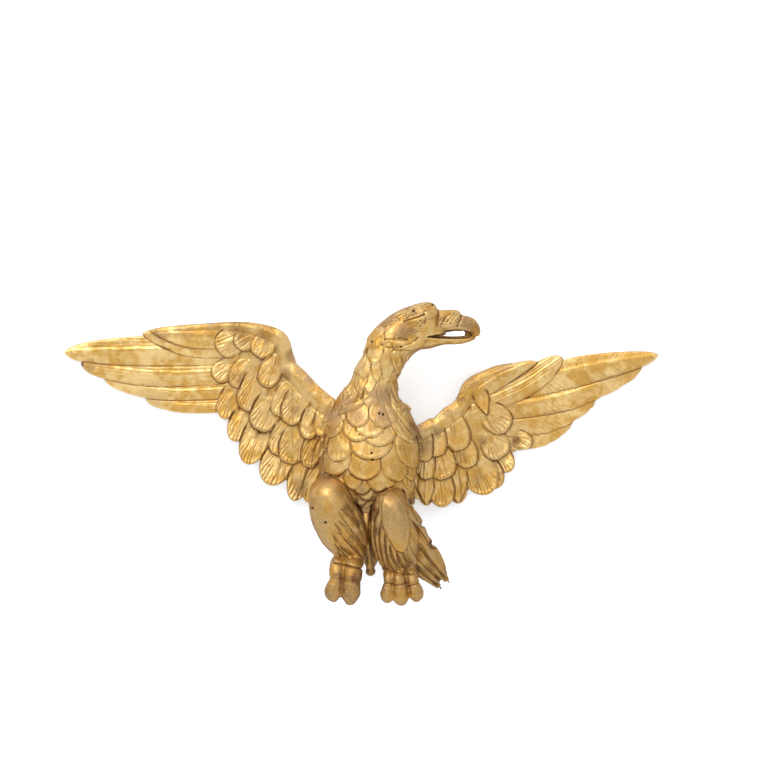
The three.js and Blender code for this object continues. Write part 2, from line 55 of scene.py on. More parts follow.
# Shapes are in millimetres, +X to the viewer's right, +Z up, the wall at Y = 0 and the viewer at -Y.
MM = 0.001
LEFT_JOINT_X, RIGHT_JOINT_X = -40, 45
REBATE_DEPTH = 31
JOINT_GAP = 0.3
FAR = 400
WING_ROOT_THICKNESS = 29
WING_THINS_OUTWARD = 0.078
WING_THINS_DOWNWARD = 0.115
TRAILING_THICKNESS = 8.5
TIP_THICKNESS = 6
TIP_REACH = 260
ARM_PROUD = 2
BLANK_THICKNESS = 10  # a wing's flat blank before its face is carved
CREASE_WIDTH = 0.85  # how fast the dark line of painted shade beside a feather's edge fades


# Curves, forms and noise


def through(values, s):
    """The value at s of a smooth curve through values numbered from 0."""
    values, s = np.asarray(values, float), np.asarray(s, float)
    last = len(values) - 1
    i = np.clip(np.floor(s).astype(int), 0, last - 1)
    t = (s - i).reshape(s.shape + (1,) * (values.ndim - 1))
    a, b, c, d = (values[np.clip(i + k, 0, last)] for k in (-1, 0, 1, 2))
    return b + 0.5 * ((c - a) * t + (2 * a - 5 * b + 4 * c - d) * t**2 + (3 * b - a - 3 * c + d) * t**3)


def ramp(low, high, value):
    """0 below low, 1 above high, and smooth between."""
    t = np.clip((value - low) / (high - low), 0, 1)
    return t * t * (3 - 2 * t)


def hump(distance, width):
    return np.exp(-((distance / width) ** 2))


def soft_max(a, b, blend):
    return 0.5 * (a + b + np.sqrt((a - b) ** 2 + blend**2))


def noise(places, size, seed=0):
    """Smooth values from -1 to 1 that change over a length of size."""
    q = np.asarray(places, float) / size
    cell = np.floor(q).astype(np.int64)
    f = q - cell
    f = f * f * (3 - 2 * f)
    factors = np.array([374761393, 668265263, 1440662683])[: q.shape[1]]
    total = 0
    for corner in itertools.product((0, 1), repeat=q.shape[1]):
        weight = np.prod(np.where(corner, f, 1 - f), axis=1)
        mixed = ((cell + corner) @ factors + seed * 982451653) & 0x7FFFFFFF
        mixed = ((mixed ^ (mixed >> 13)) * 1274126177) & 0x7FFFFFFF
        mixed = ((mixed ^ (mixed >> 16)) * 668265263) & 0x7FFFFFFF
        total = total + weight * (mixed / 0x7FFFFFFF)
    return 2 * total - 1


class Form:
    """A round form along a spine in the plane of the picture.

    A station is [x, y, z, half width, half depth]. Angle 0 faces the viewer, and 90 degrees is to the right
    of a spine that runs up.
    """

    def __init__(self, stations):
        self.stations = np.array(stations, float)
        self.last = len(stations) - 1
        self.steps = np.linspace(0, self.last, 40 * self.last + 1)
        self.samples = through(self.stations, self.steps)
        spans = np.hypot(*np.diff(self.samples[:, [0, 2]], axis=0).T)
        self.lengths = np.concatenate([[0], np.cumsum(spans)])

    def across(self, s):
        a = through(self.stations, np.maximum(0, s - 0.2))
        b = through(self.stations, np.minimum(self.last, s + 0.2))
        along = (b - a)[:, [0, 2]]
        along /= np.linalg.norm(along, axis=1)[:, None]
        return np.stack([along[:, 1], -along[:, 0]], axis=1)

    def length(self, s):
        return np.interp(s, self.steps, self.lengths)

    def girth(self, s):
        """The mean radius at s."""
        return through(self.stations, s)[..., 3:].mean(axis=-1)

    def point(self, s, angle, scale=1):
        """Points on the surface, or at a share of its radius."""
        x, y, z, half_width, half_depth = through(self.stations, s).T
        across = self.across(s)
        side = np.sin(angle) * half_width * scale
        front = np.cos(angle) * half_depth * scale
        return np.stack([x + across[:, 0] * side, y - front, z + across[:, 1] * side], axis=1)

    def locate(self, places):
        """Where each place lies: s, which passes the ends, angle, side offset and height above."""
        flat = places[:, [0, 2]]
        coarse = self.samples[::8, [0, 2]]
        nearest = np.empty(len(flat), int)
        for start in range(0, len(flat), 20000):
            part = flat[start : start + 20000]
            gaps = ((part[:, None] - coarse[None]) ** 2).sum(axis=2)
            nearest[start : start + 20000] = gaps.argmin(axis=1)
        s = self.steps[::8][nearest]
        for _ in range(3):
            held = np.clip(s, 0, self.last)
            centre = through(self.stations, held)
            along = through(self.stations, np.minimum(self.last, held + 0.05))
            along = (along - through(self.stations, np.maximum(0, held - 0.05)))[:, [0, 2]]
            step = np.where((held < 0.05) | (held > self.last - 0.05), 0.05, 0.1)
            speed = along / step[:, None]
            shift = ((flat - centre[:, [0, 2]]) * speed).sum(axis=1) / (speed**2).sum(axis=1)
            s = held + np.clip(shift, -1, 1)
        held = np.clip(s, 0, self.last)
        centre = through(self.stations, held)
        side = ((flat - centre[:, [0, 2]]) * self.across(held)).sum(axis=1)
        front = centre[:, 1] - places[:, 1]
        half_width, half_depth = np.maximum(centre[:, 3], 0.5), np.maximum(centre[:, 4], 0.5)
        angle = np.arctan2(side / half_width, front / half_depth)
        ratio = np.maximum(np.hypot(side / half_width, front / half_depth), 1e-6)
        above = (1 - 1 / ratio) * np.hypot(side, front)
        return s, angle, side, above


class Relief:
    """What the carver cut at each of a number of points, and what the gilder left there, with painted shade in
    the grooves.
    """

    def __init__(self, count, ground=0.0):
        self.height = np.zeros(count) + ground
        self.crease = np.zeros(count)
        self.phase = np.zeros(count)
        self.barbs = np.zeros(count)

    def lay(self, near, depth, height, phase, barbs, grown, line):
        """Lays a feather over the near points, where depth is how far inside its edge each of them lies.

        Where grown is 0, at its root, it only rises out of what is there. line is how dark its edge's painted
        shade is.
        """
        inside = depth > 0
        outside = near[~inside]
        shade = line * grown[~inside] * np.exp(depth[~inside] / CREASE_WIDTH)
        self.crease[outside] = np.maximum(self.crease[outside], shade)
        here, grown, height = near[inside], grown[inside], height[inside]
        risen = height > self.height[here]
        self.height[here] = height * grown + np.maximum(self.height[here], height) * (1 - grown)
        over = risen | (grown > 0.5)
        top = here[over]
        self.crease[top] *= 1 - grown[over]
        self.phase[top] = phase[inside][over]
        self.barbs[top] = barbs[inside][over]

    def cut(self, distance, width, depth):
        """Cuts a groove that is width wide at half its depth, and paints it darker with glaze and painted shade.
        """
        groove = hump(distance, width * 0.6)
        self.height -= depth * groove
        self.crease = np.maximum(self.crease, np.clip(depth * 0.5, 0, 1) * groove)


def scattered(number):
    """A value from 0 to 1 that jumps about from one number to the next."""
    return np.modf(np.abs(np.sin(number)) * 43758.5453)[0]


def strokes(phase):
    """The carver's strokes: -1 in a deep one, 0 on the flat between them, and some hardly cut."""
    turns = phase / (2 * math.pi)
    number = np.round(turns)
    strength = scattered(number * 12.9898)
    return -(0.3 + 0.7 * strength) * hump(turns - number, 0.26)


def round_about(spot, x, z, reach):
    return (np.abs(x - spot[0]) < reach) & (np.abs(z - spot[1]) < reach)


def lay_scallop(
    relief, near, x, z, spot, *, ground=0.0, lift=3.0, sink=2.0, crown=1.4, pointed=0.0, pitch=3.6, ridge=0.0,
    line=1.0, barbs=1.0, seed=0, full=2.0,
):
    """Lays one scalloped feather over the near points, which lie at x, z.

    spot is [x, z, half width, half length, heading], the heading in degrees from +X towards +Z. full is 2 for
    an ellipse, and more for a blunter shape.
    """
    cx, cz, half_width, half_length, heading = spot
    c, s = math.cos(math.radians(heading)), math.sin(math.radians(heading))
    along, across = (x - cx) * c + (z - cz) * s, (x - cx) * s - (z - cz) * c
    flat = np.stack([x, z], axis=1)
    u = along / half_length
    v = across / (half_width * (1 - pointed * np.clip(u, 0, 1)))
    r = np.maximum((np.abs(u) ** full + np.abs(v) ** full) ** (1 / full), 1e-6)
    slope = np.hypot(np.abs(u / r) ** (full - 1) / half_length, np.abs(v / r) ** (full - 1) / half_width)
    depth = np.minimum((1 - r) / slope, min(half_length, half_width)) + 0.45 * noise(flat, 6.0, seed)
    tilt = np.clip((1 + u) / 2, 0, 1)
    height = lift * tilt - sink * (1 - tilt) + crown * (1 - v * v) * (0.4 + 0.6 * tilt)
    height += 0.6 * hump(depth - 2.8, 1.6) - 1.2 * np.exp(-np.abs(depth) / 0.9)
    bent = across - 0.16 * half_width * np.sin(2.2 * u + seed)
    height += ridge * hump(bent, 1.7) * ramp(1.0, 0.4, tilt)
    phase = np.arctan2(across, along + 1.3 * half_length) * 2.3 * half_length / pitch * 2 * math.pi
    phase = phase + 2.2 * noise(flat, 9.0, seed + 7)
    first_cut = scattered(np.round(phase / (2 * math.pi)) * 78.233 + seed)
    spread = ramp(0.1, 0.35, np.hypot(tilt, 0.4 * v) - 0.75 * first_cut)
    spread = barbs * np.maximum(spread, ramp(0.75, 0.95, tilt)) * ramp(0.1, 1.4, depth)
    relief.lay(near, depth, ground + height, phase, spread, ramp(-0.8, -0.3, u), line)


# Blender helpers


def deselect_all():
    if bpy.context.object and bpy.context.object.mode != "OBJECT":
        bpy.ops.object.mode_set(mode="OBJECT")
    bpy.ops.object.select_all(action="DESELECT")


def points_of(obj):
    flat = np.empty(3 * len(obj.data.vertices), np.float32)
    obj.data.vertices.foreach_get("co", flat)
    return flat.reshape(-1, 3).astype(float) / MM


def move_points(obj, points):
    obj.data.vertices.foreach_set("co", (points * MM).astype(np.float32).ravel())
    obj.data.update()


def normals_of(obj):
    flat = np.empty(3 * len(obj.data.vertices), np.float32)
    obj.data.vertex_normals.foreach_get("vector", flat)
    return flat.reshape(-1, 3).astype(float)


def make_faces_point_out():
    bpy.ops.object.mode_set(mode="EDIT")
    bpy.ops.mesh.select_all(action="SELECT")
    bpy.ops.mesh.normals_make_consistent(inside=False)
    bpy.ops.object.mode_set(mode="OBJECT")


def rounded_part(form, segments=32, rings=48):
    """A form's skin, made from a sphere, with its ends rounded."""
    deselect_all()
    bpy.ops.mesh.primitive_uv_sphere_add(segments=segments, ring_count=rings, radius=MM)
    obj = bpy.context.object
    ball = points_of(obj)
    s = form.last * (np.arcsin(np.clip(ball[:, 2], -1, 1)) / math.pi + 0.5)
    end = np.clip(np.minimum(s, form.last - s) / 0.6, 0, 1)
    move_points(obj, form.point(s, np.arctan2(ball[:, 0], -ball[:, 1]), np.sqrt(1 - (1 - end) ** 2)))
    return obj


def toe_part(joints, segments=20, rings=36):
    """A toe along joints of [x, y, z, radius], from the foot over the knuckle to the claw curled under."""
    deselect_all()
    bpy.ops.mesh.primitive_uv_sphere_add(segments=segments, ring_count=rings, radius=MM)
    obj = bpy.context.object
    ball = points_of(obj)
    last = len(joints) - 1
    s = last * (np.arcsin(np.clip(ball[:, 2], -1, 1)) / math.pi + 0.5)
    centre = through(joints, s)
    ahead, behind = through(joints, np.minimum(last, s + 0.1)), through(joints, np.maximum(0, s - 0.1))
    along = (ahead - behind)[:, :3]
    along /= np.linalg.norm(along, axis=1)[:, None]
    across = np.array([1, 0, 0]) - along * along[:, :1]
    across /= np.linalg.norm(across, axis=1)[:, None]
    up = np.cross(along, across)
    end = np.clip(np.minimum(s, last - s) / 0.6, 0, 1)
    radius = (centre[:, 3] * np.sqrt(1 - (1 - end) ** 2))[:, None]
    angle = np.arctan2(ball[:, 1], ball[:, 0])[:, None]
    move_points(obj, centre[:, :3] + radius * (np.cos(angle) * across + np.sin(angle) * up))
    return obj


def blank(outline, front, back=0.0):
    """A flat blank sawn to an outline of [x, z] points, from the wall's side to the front."""
    outline = np.asarray(outline, float)
    deselect_all()
    bpy.ops.mesh.primitive_circle_add(vertices=len(outline), radius=MM, fill_type="NGON")
    obj = bpy.context.object
    places = np.column_stack([outline[:, 0], np.full(len(outline), float(back)), outline[:, 1]])
    move_points(obj, places)
    bpy.ops.object.mode_set(mode="EDIT")
    bpy.ops.mesh.select_all(action="SELECT")
    bpy.ops.mesh.extrude_region_move(TRANSFORM_OT_translate={"value": (0, (front - back) * MM, 0)})
    bpy.ops.object.mode_set(mode="OBJECT")
    make_faces_point_out()
    return obj


def apply_modifier(obj, kind, **settings):
    bpy.context.view_layer.objects.active = obj
    modifier = obj.modifiers.new(kind.title(), kind)
    for name, value in settings.items():
        setattr(modifier, name, value)
    bpy.ops.object.modifier_apply(modifier=modifier.name)


def fused(parts, name, voxel):
    """One closed skin round overlapping parts."""
    deselect_all()
    for part in parts:
        part.select_set(True)
    bpy.context.view_layer.objects.active = parts[0]
    if len(parts) > 1:
        bpy.ops.object.join()
    obj = bpy.context.object
    obj.name = obj.data.name = name
    apply_modifier(obj, "REMESH", mode="VOXEL", voxel_size=voxel, use_smooth_shade=True)
    return obj


def cut_away(obj, cutter):
    apply_modifier(obj, "BOOLEAN", operation="DIFFERENCE", solver="MANIFOLD", object=cutter)
    bpy.data.objects.remove(cutter)


def box_cutter(low, high):
    """A block between two corners."""
    deselect_all()
    low, high = np.array(low, float), np.array(high, float)
    bpy.ops.mesh.primitive_cube_add(size=MM)
    obj = bpy.context.object
    move_points(obj, points_of(obj) * (high - low) + (low + high) / 2)
    return obj


def thinned(obj, most_triangles):
    """Takes triangles away where the surface is plain, down to the most that a piece may have."""
    triangles = sum(len(face.vertices) - 2 for face in obj.data.polygons)
    if triangles > most_triangles:
        apply_modifier(obj, "DECIMATE", ratio=most_triangles / triangles, use_collapse_triangulate=True)


def write_attribute(obj, name, values):
    if name in obj.data.attributes:
        obj.data.attributes.remove(obj.data.attributes[name])
    attribute = obj.data.attributes.new(name, "FLOAT", "POINT")
    attribute.data.foreach_set("value", np.asarray(values, np.float32))


def finish_piece(obj, node, material):
    obj.data.materials.clear()
    obj.data.materials.append(material)
    deselect_all()
    obj.select_set(True)
    bpy.context.view_layer.objects.active = obj
    bpy.ops.object.shade_smooth()
    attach(obj, "root")
    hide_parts(node)


# Wings


class Quill:
    """A long feather or a lock along a line of [x, z] points. share of its width lies before its shaft."""

    def __init__(
        self, line, widths, share=0.5, lift=2.0, ridge=1.0, ridge_width=2.2, ragged=0.0, barbs=0.5, pitch=3.0,
        strands=False, mark=1.0,
    ):
        self.share, self.lift, self.ridge, self.ridge_width = share, lift, ridge, ridge_width
        self.barbs, self.pitch, self.strands, self.mark = barbs, pitch, strands, mark
        self.t = np.linspace(0, 1, 100)
        self.line = through(line, (len(line) - 1) * self.t)
        self.spans = np.concatenate([[0], np.cumsum(np.hypot(*np.diff(self.line, axis=0).T))])
        direction = np.gradient(self.line, axis=0)
        direction /= np.linalg.norm(direction, axis=1)[:, None]
        self.direction = direction
        side = 1 if direction[-1, 0] > 0 else -1
        self.leading = np.stack([-direction[:, 1], direction[:, 0]], axis=1) * side
        tip_round = (1 - self.t**8) ** 0.75
        width = np.maximum(1.0, through(widths, (len(widths) - 1) * self.t) * tip_round)
        tears = noise(np.stack([self.spans, np.full(100, 10.0 * lift)], axis=1), 3.2)
        self.before = share * width
        self.behind = (1 - share) * width + ragged * tears * ramp(0.3, 0.5, self.t)

    def outline(self):
        first = self.line + self.leading * self.before[:, None]
        second = self.line - self.leading * self.behind[:, None]
        return np.concatenate([first, second[::-1]])

    def lay_on(self, relief, x, z, ground, chosen=None):
        edge = self.outline()
        reach = 4
        close = (
            (x > edge[:, 0].min() - reach) & (x < edge[:, 0].max() + reach)
            & (z > edge[:, 1].min() - reach) & (z < edge[:, 1].max() + reach)
        )
        near = np.nonzero(close if chosen is None else close & chosen)[0]
        flat = np.stack([x[near], z[near]], axis=1)
        nearest = np.empty(len(near), int)
        for start in range(0, len(near), 20000):
            gaps = ((flat[start : start + 20000, None] - self.line[None]) ** 2).sum(axis=2)
            nearest[start : start + 20000] = gaps.argmin(axis=1)
        offset = flat - self.line[nearest]
        across = (offset * self.leading[nearest]).sum(axis=1)
        along = self.spans[nearest] + (offset * self.direction[nearest]).sum(axis=1)
        t = along / self.spans[-1]
        before, behind = (np.interp(along, self.spans, edges) for edges in (self.before, self.behind))
        depth = np.minimum(before - across, across + behind)
        depth = np.minimum(depth, (1.004 - t) * self.spans[-1])
        q = np.where(across > 0, across / before, -across / behind)
        rise = self.lift * np.clip(2 * t, 0, 1)
        fall = np.where(across > 0, 0.35 * rise, 0.5 * rise + 0.4)
        height = rise - fall * np.abs(q) ** 2.5 + self.ridge * hump(across, self.ridge_width) * (1 - 0.5 * t)
        height -= 0.8 * np.exp(-np.abs(depth) / 0.8)
        if self.strands:
            phase = across * 2 * math.pi / self.pitch + 1.6 * noise(np.stack([along / 4, across], axis=1),
                4.0)
        else:
            phase = (along - 0.9 * np.abs(across)) * 2 * math.pi / self.pitch + 2.0 * noise(flat, 9.0)
        barbs = self.barbs * ramp(0.3, 1.8, depth)
        if not self.strands:
            barbs = barbs * ramp(0.0, 0.25, np.abs(q))
        relief.lay(near, depth, ground[near] + height, phase, barbs, ramp(-0.02, 0.15, t), self.mark)


def locks(table, **finish):
    return [Quill(line, widths, strands=True, **finish) for line, widths in table]


# From the leading edge near the body out along the top to the tip.
LEFT_EDGE = [
    [-20, 44], [-42, 57], [-59, 71], [-72, 85], [-86, 98], [-88, 111], [-93, 125], [-105, 134], [-124, 139],
    [-150, 141], [-196, 138], [-234, 133], [-253, 128], [-280, 125], [-308, 118], [-338, 107],
]
# Half the width and half the depth of the rounded leading edge, at the outline's first points in turn.
LEFT_ARM = [
    [11, 13], [11, 13], [10.5, 13], [10, 12.5], [9.5, 12], [9, 11.5], [8.5, 11], [8, 10], [7, 9], [5, 7],
    [3.5, 5], [2, 3],
]
# Each covert is [x, z, half width, half length, heading], in the order in which they lie over each other.
LEFT_COVERTS = [
    [-163, 87, 12, 13, 220], [-156, 54, 12.5, 21.5, 248], [-145, 29, 13, 21, 246], [-129, 10, 16, 27, 250],
    [-105, -16, 18, 24, 246], [-79, -31, 13, 26, 252], [-63, -33, 11, 26, 252],
    [-154.5, 119, 16, 17.5, 215], [-142.5, 85, 13, 18, 238], [-130, 67, 16, 25, 248],
    [-115.5, 43, 17, 23.5, 244], [-99, 15, 13, 21, 250], [-86, 7, 16, 22, 252], [-65, 1, 12, 20.5, 254],
    [-138, 122, 12.5, 13.5, 215], [-119, 115, 13.5, 14, 232], [-110.5, 88, 13, 19.5, 246],
    [-96, 57, 13, 21, 246], [-83.5, 50, 15, 23, 248], [-66, 32, 12.5, 20, 252], [-52, 35, 11.5, 20, 256],
]
LEFT_QUILLS = [
    Quill(line, widths, share, lift, ridge, ridge_width, barbs=barbs, pitch=pitch, strands=True)
    for line, widths, share, lift, ridge, ridge_width, barbs, pitch in (
        ([[-150, 50], [-205, 49], [-249, 57]], [16, 17, 17], 0.5, 1.4, 0.9, 4, 0.5, 2.6),
        ([[-150, 66], [-235, 65], [-295, 80]], [18, 20, 20], 0.5, 1.8, 1.0, 4, 0.5, 3.4),
        ([[-150, 86], [-240, 84], [-320, 95]], [22, 26, 25], 0.45, 2.2, 1.2, 5, 0.6, 4),
        ([[-150, 110], [-250, 110], [-338, 107]], [30, 33, 24], 0.47, 2.6, 2.2, 4.2, 0.35, 4),
        ([[-150, 120], [-205, 121], [-252, 128]], [38, 34, 12], 0.5, 4.2, 0.6, 6, 0.2, 6),
        ([[-150, 126], [-200, 125], [-243, 131]], [28, 26, 10], 0.5, 6, 1.2, 4, 0.25, 5),
    )
]
LEFT_BOARD = [
    [-38, 46], [-62, 62], [-82, 92], [-92, 120], [-120, 132], [-190, 132], [-280, 116], [-315, 106],
    [-290, 86], [-235, 64], [-168, 52], [-150, 22], [-130, -4], [-104, -28], [-72, -46], [-38, -50],
]
RIGHT_EDGE = [
    [25, 24], [45, 26], [59, 32], [69, 36], [78, 45], [90, 53], [95, 62], [100, 73], [109, 81], [122, 87],
    [137, 93], [154, 96], [181, 97], [200, 102], [239, 104], [296, 107], [315, 105],
]
RIGHT_ARM = [
    [9, 12], [9, 12], [9, 12], [9, 12], [9, 12], [9, 12], [8.5, 11.5], [8, 11], [7, 10], [6, 8],
    [4.5, 6], [3, 4],
]
RIGHT_COVERTS = [
    [164, 11, 10, 12, 332], [144, -10, 12, 16, 302], [130, -24, 14, 20, 300], [117, -24, 20, 27, 298],
    [94, -36, 12, 23, 272], [76, -42, 15, 21, 276], [59, -43, 10, 18, 274],
    [101, 0, 14, 20, 294], [75, -12, 17, 20, 285], [59, -14, 11, 18, 272], [135, 6, 16, 16, 300],
    [136, 35, 16, 18, 325],
    [121, 55, 9, 17, 288], [90, 23, 16, 24, 292], [68, 14, 14, 21, 282], [56, 8, 12, 20, 276],
]
RIGHT_QUILLS = [
    Quill([[140, 16], [182, 19], [221, 33]], [24, 23, 13], 0.3, 1.2, 1.6, 1.8, ragged=0.8, barbs=0.7),
    Quill([[135, 30], [190, 37], [246, 56]], [22, 25, 16], 0.28, 1.6, 1.6, 1.8, ragged=0.9, barbs=0.7),
    Quill([[135, 47], [212, 61], [297, 92]], [22, 26, 19], 0.32, 2, 1.8, 2, ragged=0.8, barbs=0.75),
    Quill([[135, 66], [225, 90], [315, 105]], [26, 33, 19], 0.38, 2.6, 2.0, 2.2, ragged=0.4, barbs=0.8),
    Quill([[118, 50], [170, 75], [209, 102]], [26, 30, 20], 0.5, 4.6, 0.8, 4, barbs=1, pitch=3.4,
        strands=True),
    Quill([[104, 58], [146, 82], [181, 97]], [22, 20, 10], 0.5, 5.4, 0.6, 5, barbs=0.5, pitch=5,
        strands=True),
]
POINTED = {(94, -36), (59, -43), (121, 55)}
SMOOTH = {(90, 23), (68, 14), (56, 8), (121, 55), (-52, 35), (-66, 32)}
# Where the wings are painted darker, each [x, z, radius, how much]: painted shade, and darker spots.
WINGS_SHADED = [
    [159, 11, 6, 0.8], [98, 58, 6, 0.6], [113, 58, 5, 0.5], [121, 10, 7, 0.6], [56, 4, 14, 0.4],
    [72, 20, 8, 0.4],
    [116, -30, 9, 0.4], [141, -30, 8, 0.4], [100, -8, 8, 0.4], [-88, 104, 8, 0.5], [-118, 124, 10, 0.4],
    [-96, 82, 9, 0.4], [-140, 122, 9, 0.4], [-150, 80, 10, 0.4], [-84, 44, 6, 0.4], [-60, -10, 12, 0.4],
    [-80, -40, 10, 0.4], [-310, 92, 8, 0.6], [-240, 60, 20, 0.2], [-125, 20, 8, 0.3], [-205, 134, 14, 0.5],
    [-175, 136, 14, 0.5], [-232, 130, 12, 0.5], [-145, 137, 14, 0.5], [-300, 116, 12, 0.3],
    [-116, 134, 12, 0.4],
    [60, 30, 10, 0.3], [82, 44, 9, 0.3], [108, 76, 9, 0.4], [140, 90, 12, 0.3],
]
RIGHT_BOARD = [
    [43, 20], [70, 30], [98, 62], [122, 80], [190, 92], [250, 98], [292, 98],
    [270, 76], [214, 40], [178, 12], [150, -6], [134, -32], [110, -42], [80, -54], [43, -54],
]


class Wing:
    """One wing's outline and the relief of its face. side is -1 for the viewer's left, 1 for the right."""

    def __init__(self, side, edge, arm, quills, coverts, board):
        self.side, self.edge = side, np.array(edge, float)
        self.quills, self.coverts, self.board = quills, coverts, board
        self.joint_x = (LEFT_JOINT_X if side < 0 else RIGHT_JOINT_X) + side * JOINT_GAP
        self.arm = Form([self.arm_station(i, *size) for i, size in enumerate(arm)])

    def thickness(self, x, z):
        reach = x * self.side
        out = np.maximum(0, reach - abs(self.edge[0, 0]))
        below = np.maximum(0, np.interp(reach, self.edge[:, 0] * self.side, self.edge[:, 1]) - z)
        wanted = WING_ROOT_THICKNESS - WING_THINS_OUTWARD * out - WING_THINS_DOWNWARD * below
        least = TRAILING_THICKNESS + (TIP_THICKNESS - TRAILING_THICKNESS) * np.minimum(1, out / TIP_REACH)
        return np.maximum(wanted, least)

    def arm_station(self, i, half_width, half_depth):
        """The leading edge's rounded arm, set in from the outline by half its width."""
        ahead, behind = self.edge[min(i + 1, len(self.edge) - 1)], self.edge[max(i - 1, 0)]
        dx, dz = ahead - behind
        inward = half_width * self.side / math.hypot(dx, dz)
        x, z = self.edge[i] + np.array([dz, -dx]) * inward
        y = half_depth - float(self.thickness(x, z)) - ARM_PROUD
        return [x, y, z, half_width, half_depth]

    def outlines(self):
        s = np.linspace(0, self.arm.last, 80)
        left, right = (self.arm.point(s, np.full(80, angle))[:, [0, 2]] for angle in (-math.pi / 2,
            math.pi / 2))
        yield self.board
        yield np.concatenate([left, right[::-1]])
        yield from (quill.outline() for quill in self.quills)
        turn = np.linspace(0, 2 * math.pi, 64, endpoint=False)
        for x, z, half_width, half_length, heading in self.coverts:
            c, s = math.cos(math.radians(heading)), math.sin(math.radians(heading))
            along, across = np.cos(turn) * half_length, np.sin(turn) * half_width
            yield np.stack([x + along * c + across * s, z + along * s - across * c], axis=1)

    def flat_blank(self, name, voxel):
        blanks = []
        for outline in self.outlines():
            outline = np.array(outline, float)
            outline[:, 0] = self.side * np.maximum(self.side * outline[:, 0], self.side * self.joint_x)
            blanks.append(blank(outline, -BLANK_THICKNESS))
        return fused(blanks, name, voxel)

    def relief(self, places):
        x, z = places[:, 0], places[:, 2]
        flat = places[:, [0, 2]]
        ground = self.thickness(x, z)
        relief = Relief(len(x), ground - 1.5)
        for quill in self.quills:
            quill.lay_on(relief, x, z, ground)
        for number, spot in enumerate(self.coverts):
            near = np.nonzero(round_about(spot, x, z, 1.3 * max(spot[2:4])))[0]
            lay_scallop(
                relief, near, x[near], z[near], spot, ground=ground[near], lift=4.2, sink=3.0, crown=1.6,
                full=2.4,
                pitch=4.2 + 0.4 * (number % 3), ridge=1.5 if number % 3 == 1 else 0.7, seed=number,
                pointed=0.75 if tuple(spot[:2]) in POINTED else 0.0,
                barbs=0.35 if tuple(spot[:2]) in SMOOTH else 1.0,
            )
        s, _, side, _ = self.arm.locate(np.column_stack([x, np.zeros(len(x)), z]))
        centre = through(self.arm.stations, np.clip(s, 0, self.arm.last))
        round_share = np.clip(1 - (side / centre[:, 3]) ** 2, 0, 1)
        on_arm = (s > -0.2) & (s < self.arm.last + 0.2) & (np.abs(side) < centre[:, 3] * 1.15)
        crest = centre[:, 4] * np.sqrt(round_share) - centre[:, 1]
        bare_arm = np.where(on_arm, ramp(-1.0, 1.2, crest - relief.height), 0)
        relief.height = np.where(on_arm, soft_max(relief.height, crest, 4.0) - 1.2, relief.height)
        relief.barbs *= 1 - 0.8 * bare_arm
        relief.crease *= 1 - bare_arm
        relief.height += 0.8 * relief.barbs * strokes(relief.phase)
        relief.height += 0.45 * noise(flat, 11.0, 5) + 0.2 * noise(flat, 4.0, 6)
        under_lip = inside_trunk(x, z)
        relief.height = np.where(under_lip, np.minimum(relief.height, REBATE_DEPTH - JOINT_GAP),
            relief.height)
        return relief


def inside_trunk(x, z):
    """Whether the body's lip laps over the wing there."""
    places = np.column_stack([x, np.full(len(x), -float(REBATE_DEPTH)), z])
    s, _, _, above = TRUNK.locate(places)
    return (above < 0.5) & (s > 0) & (s < 12)


# Body

TRUNK = Form([
    [-1.5, -42, -131, 5, 6], [-2, -31, -108, 16, 18], [-4, -29, -83, 32, 28], [-3, -31, -60, 46, 36],
    [-3, -33, -38, 51, 41], [-4, -34, -14, 53.5, 45], [-1, -34, 9, 54.5, 46], [-1, -34, 35, 46.5, 43],
    [-1, -37, 53, 38, 36], [1, -42, 65, 28.5, 30], [4.6, -45, 81, 24.5, 26], [10.6, -48, 95, 22.5, 24.5],
    [15.5, -49, 107, 24, 24], [22, -50, 117, 25, 23], [32, -51, 126, 25, 22], [43, -52, 132.5, 24.5, 21.5],
    [56, -52, 137, 24.5, 20.5], [67, -52, 139, 23.5, 18], [74, -52, 140.5, 19, 14], [79.5, -52, 142, 8, 7],
])
CERE = Form([[78, -52, 142, 8, 10], [85, -52, 143.2, 10.5, 12.5], [91, -52, 143, 10.8, 12],
    [96, -52, 141.5, 8, 10]])
UPPER_BEAK = Form([
    [58, -52, 137, 14, 15], [72, -52, 141, 12.5, 14], [86, -52, 141.5, 12, 12], [97, -52, 139.5, 9.3, 9.5],
    [107, -52, 136.5, 9, 8], [113.5, -52, 131, 6, 6.5], [117, -52, 124.5, 1.5, 3],
])
LOWER_BEAK = Form([
    [50, -52, 120, 10, 14], [64, -52, 119, 7.5, 12], [78, -52, 120.8, 5.2, 10], [92, -52, 120.5, 4.8, 8],
    [104, -52, 121.8, 3.8, 6], [114, -52, 124, 2.5, 4],
])
LEFT_LEG = Form([
    [-53, -58, -29, 9, 12], [-51, -68, -38, 18, 24], [-46.5, -71, -54, 24, 28], [-41, -71, -70, 26.5, 28],
    [-34, -70, -86, 26, 26], [-27, -68, -100, 23, 23], [-23.5, -67, -112, 18.5, 18],
    [-22.5, -67, -124, 14, 14],
])
RIGHT_LEG = Form([
    [19, -58, -41, 8, 12], [20, -68, -48, 16, 23], [20, -72, -59, 20, 27], [23, -72, -74, 24, 27],
    [25, -71, -90, 26, 25], [27, -70, -108, 25, 22], [29, -69, -122, 21, 18], [30, -69, -134, 17, 14],
])
RIGHT_TUFTS = [
    Form([[34, -66, -58, 8, 10], [46, -63, -78, 11, 12], [57, -59, -96, 8, 8], [69, -55, -108, 1.5, 2.5]]),
    Form([
        [38, -63, -84, 14, 14], [56, -60, -106, 15, 12], [70, -56, -126, 13, 9], [82, -53, -141, 5, 5],
        [86, -52, -147.5, 1.2, 2],
    ]),
    Form([
        [34, -62, -106, 14, 12], [50, -60, -124, 14, 11], [63, -57, -138, 10, 8], [73, -54, -148, 4.5, 4],
        [77.5, -53, -154, 1.2, 2],
    ]),
]
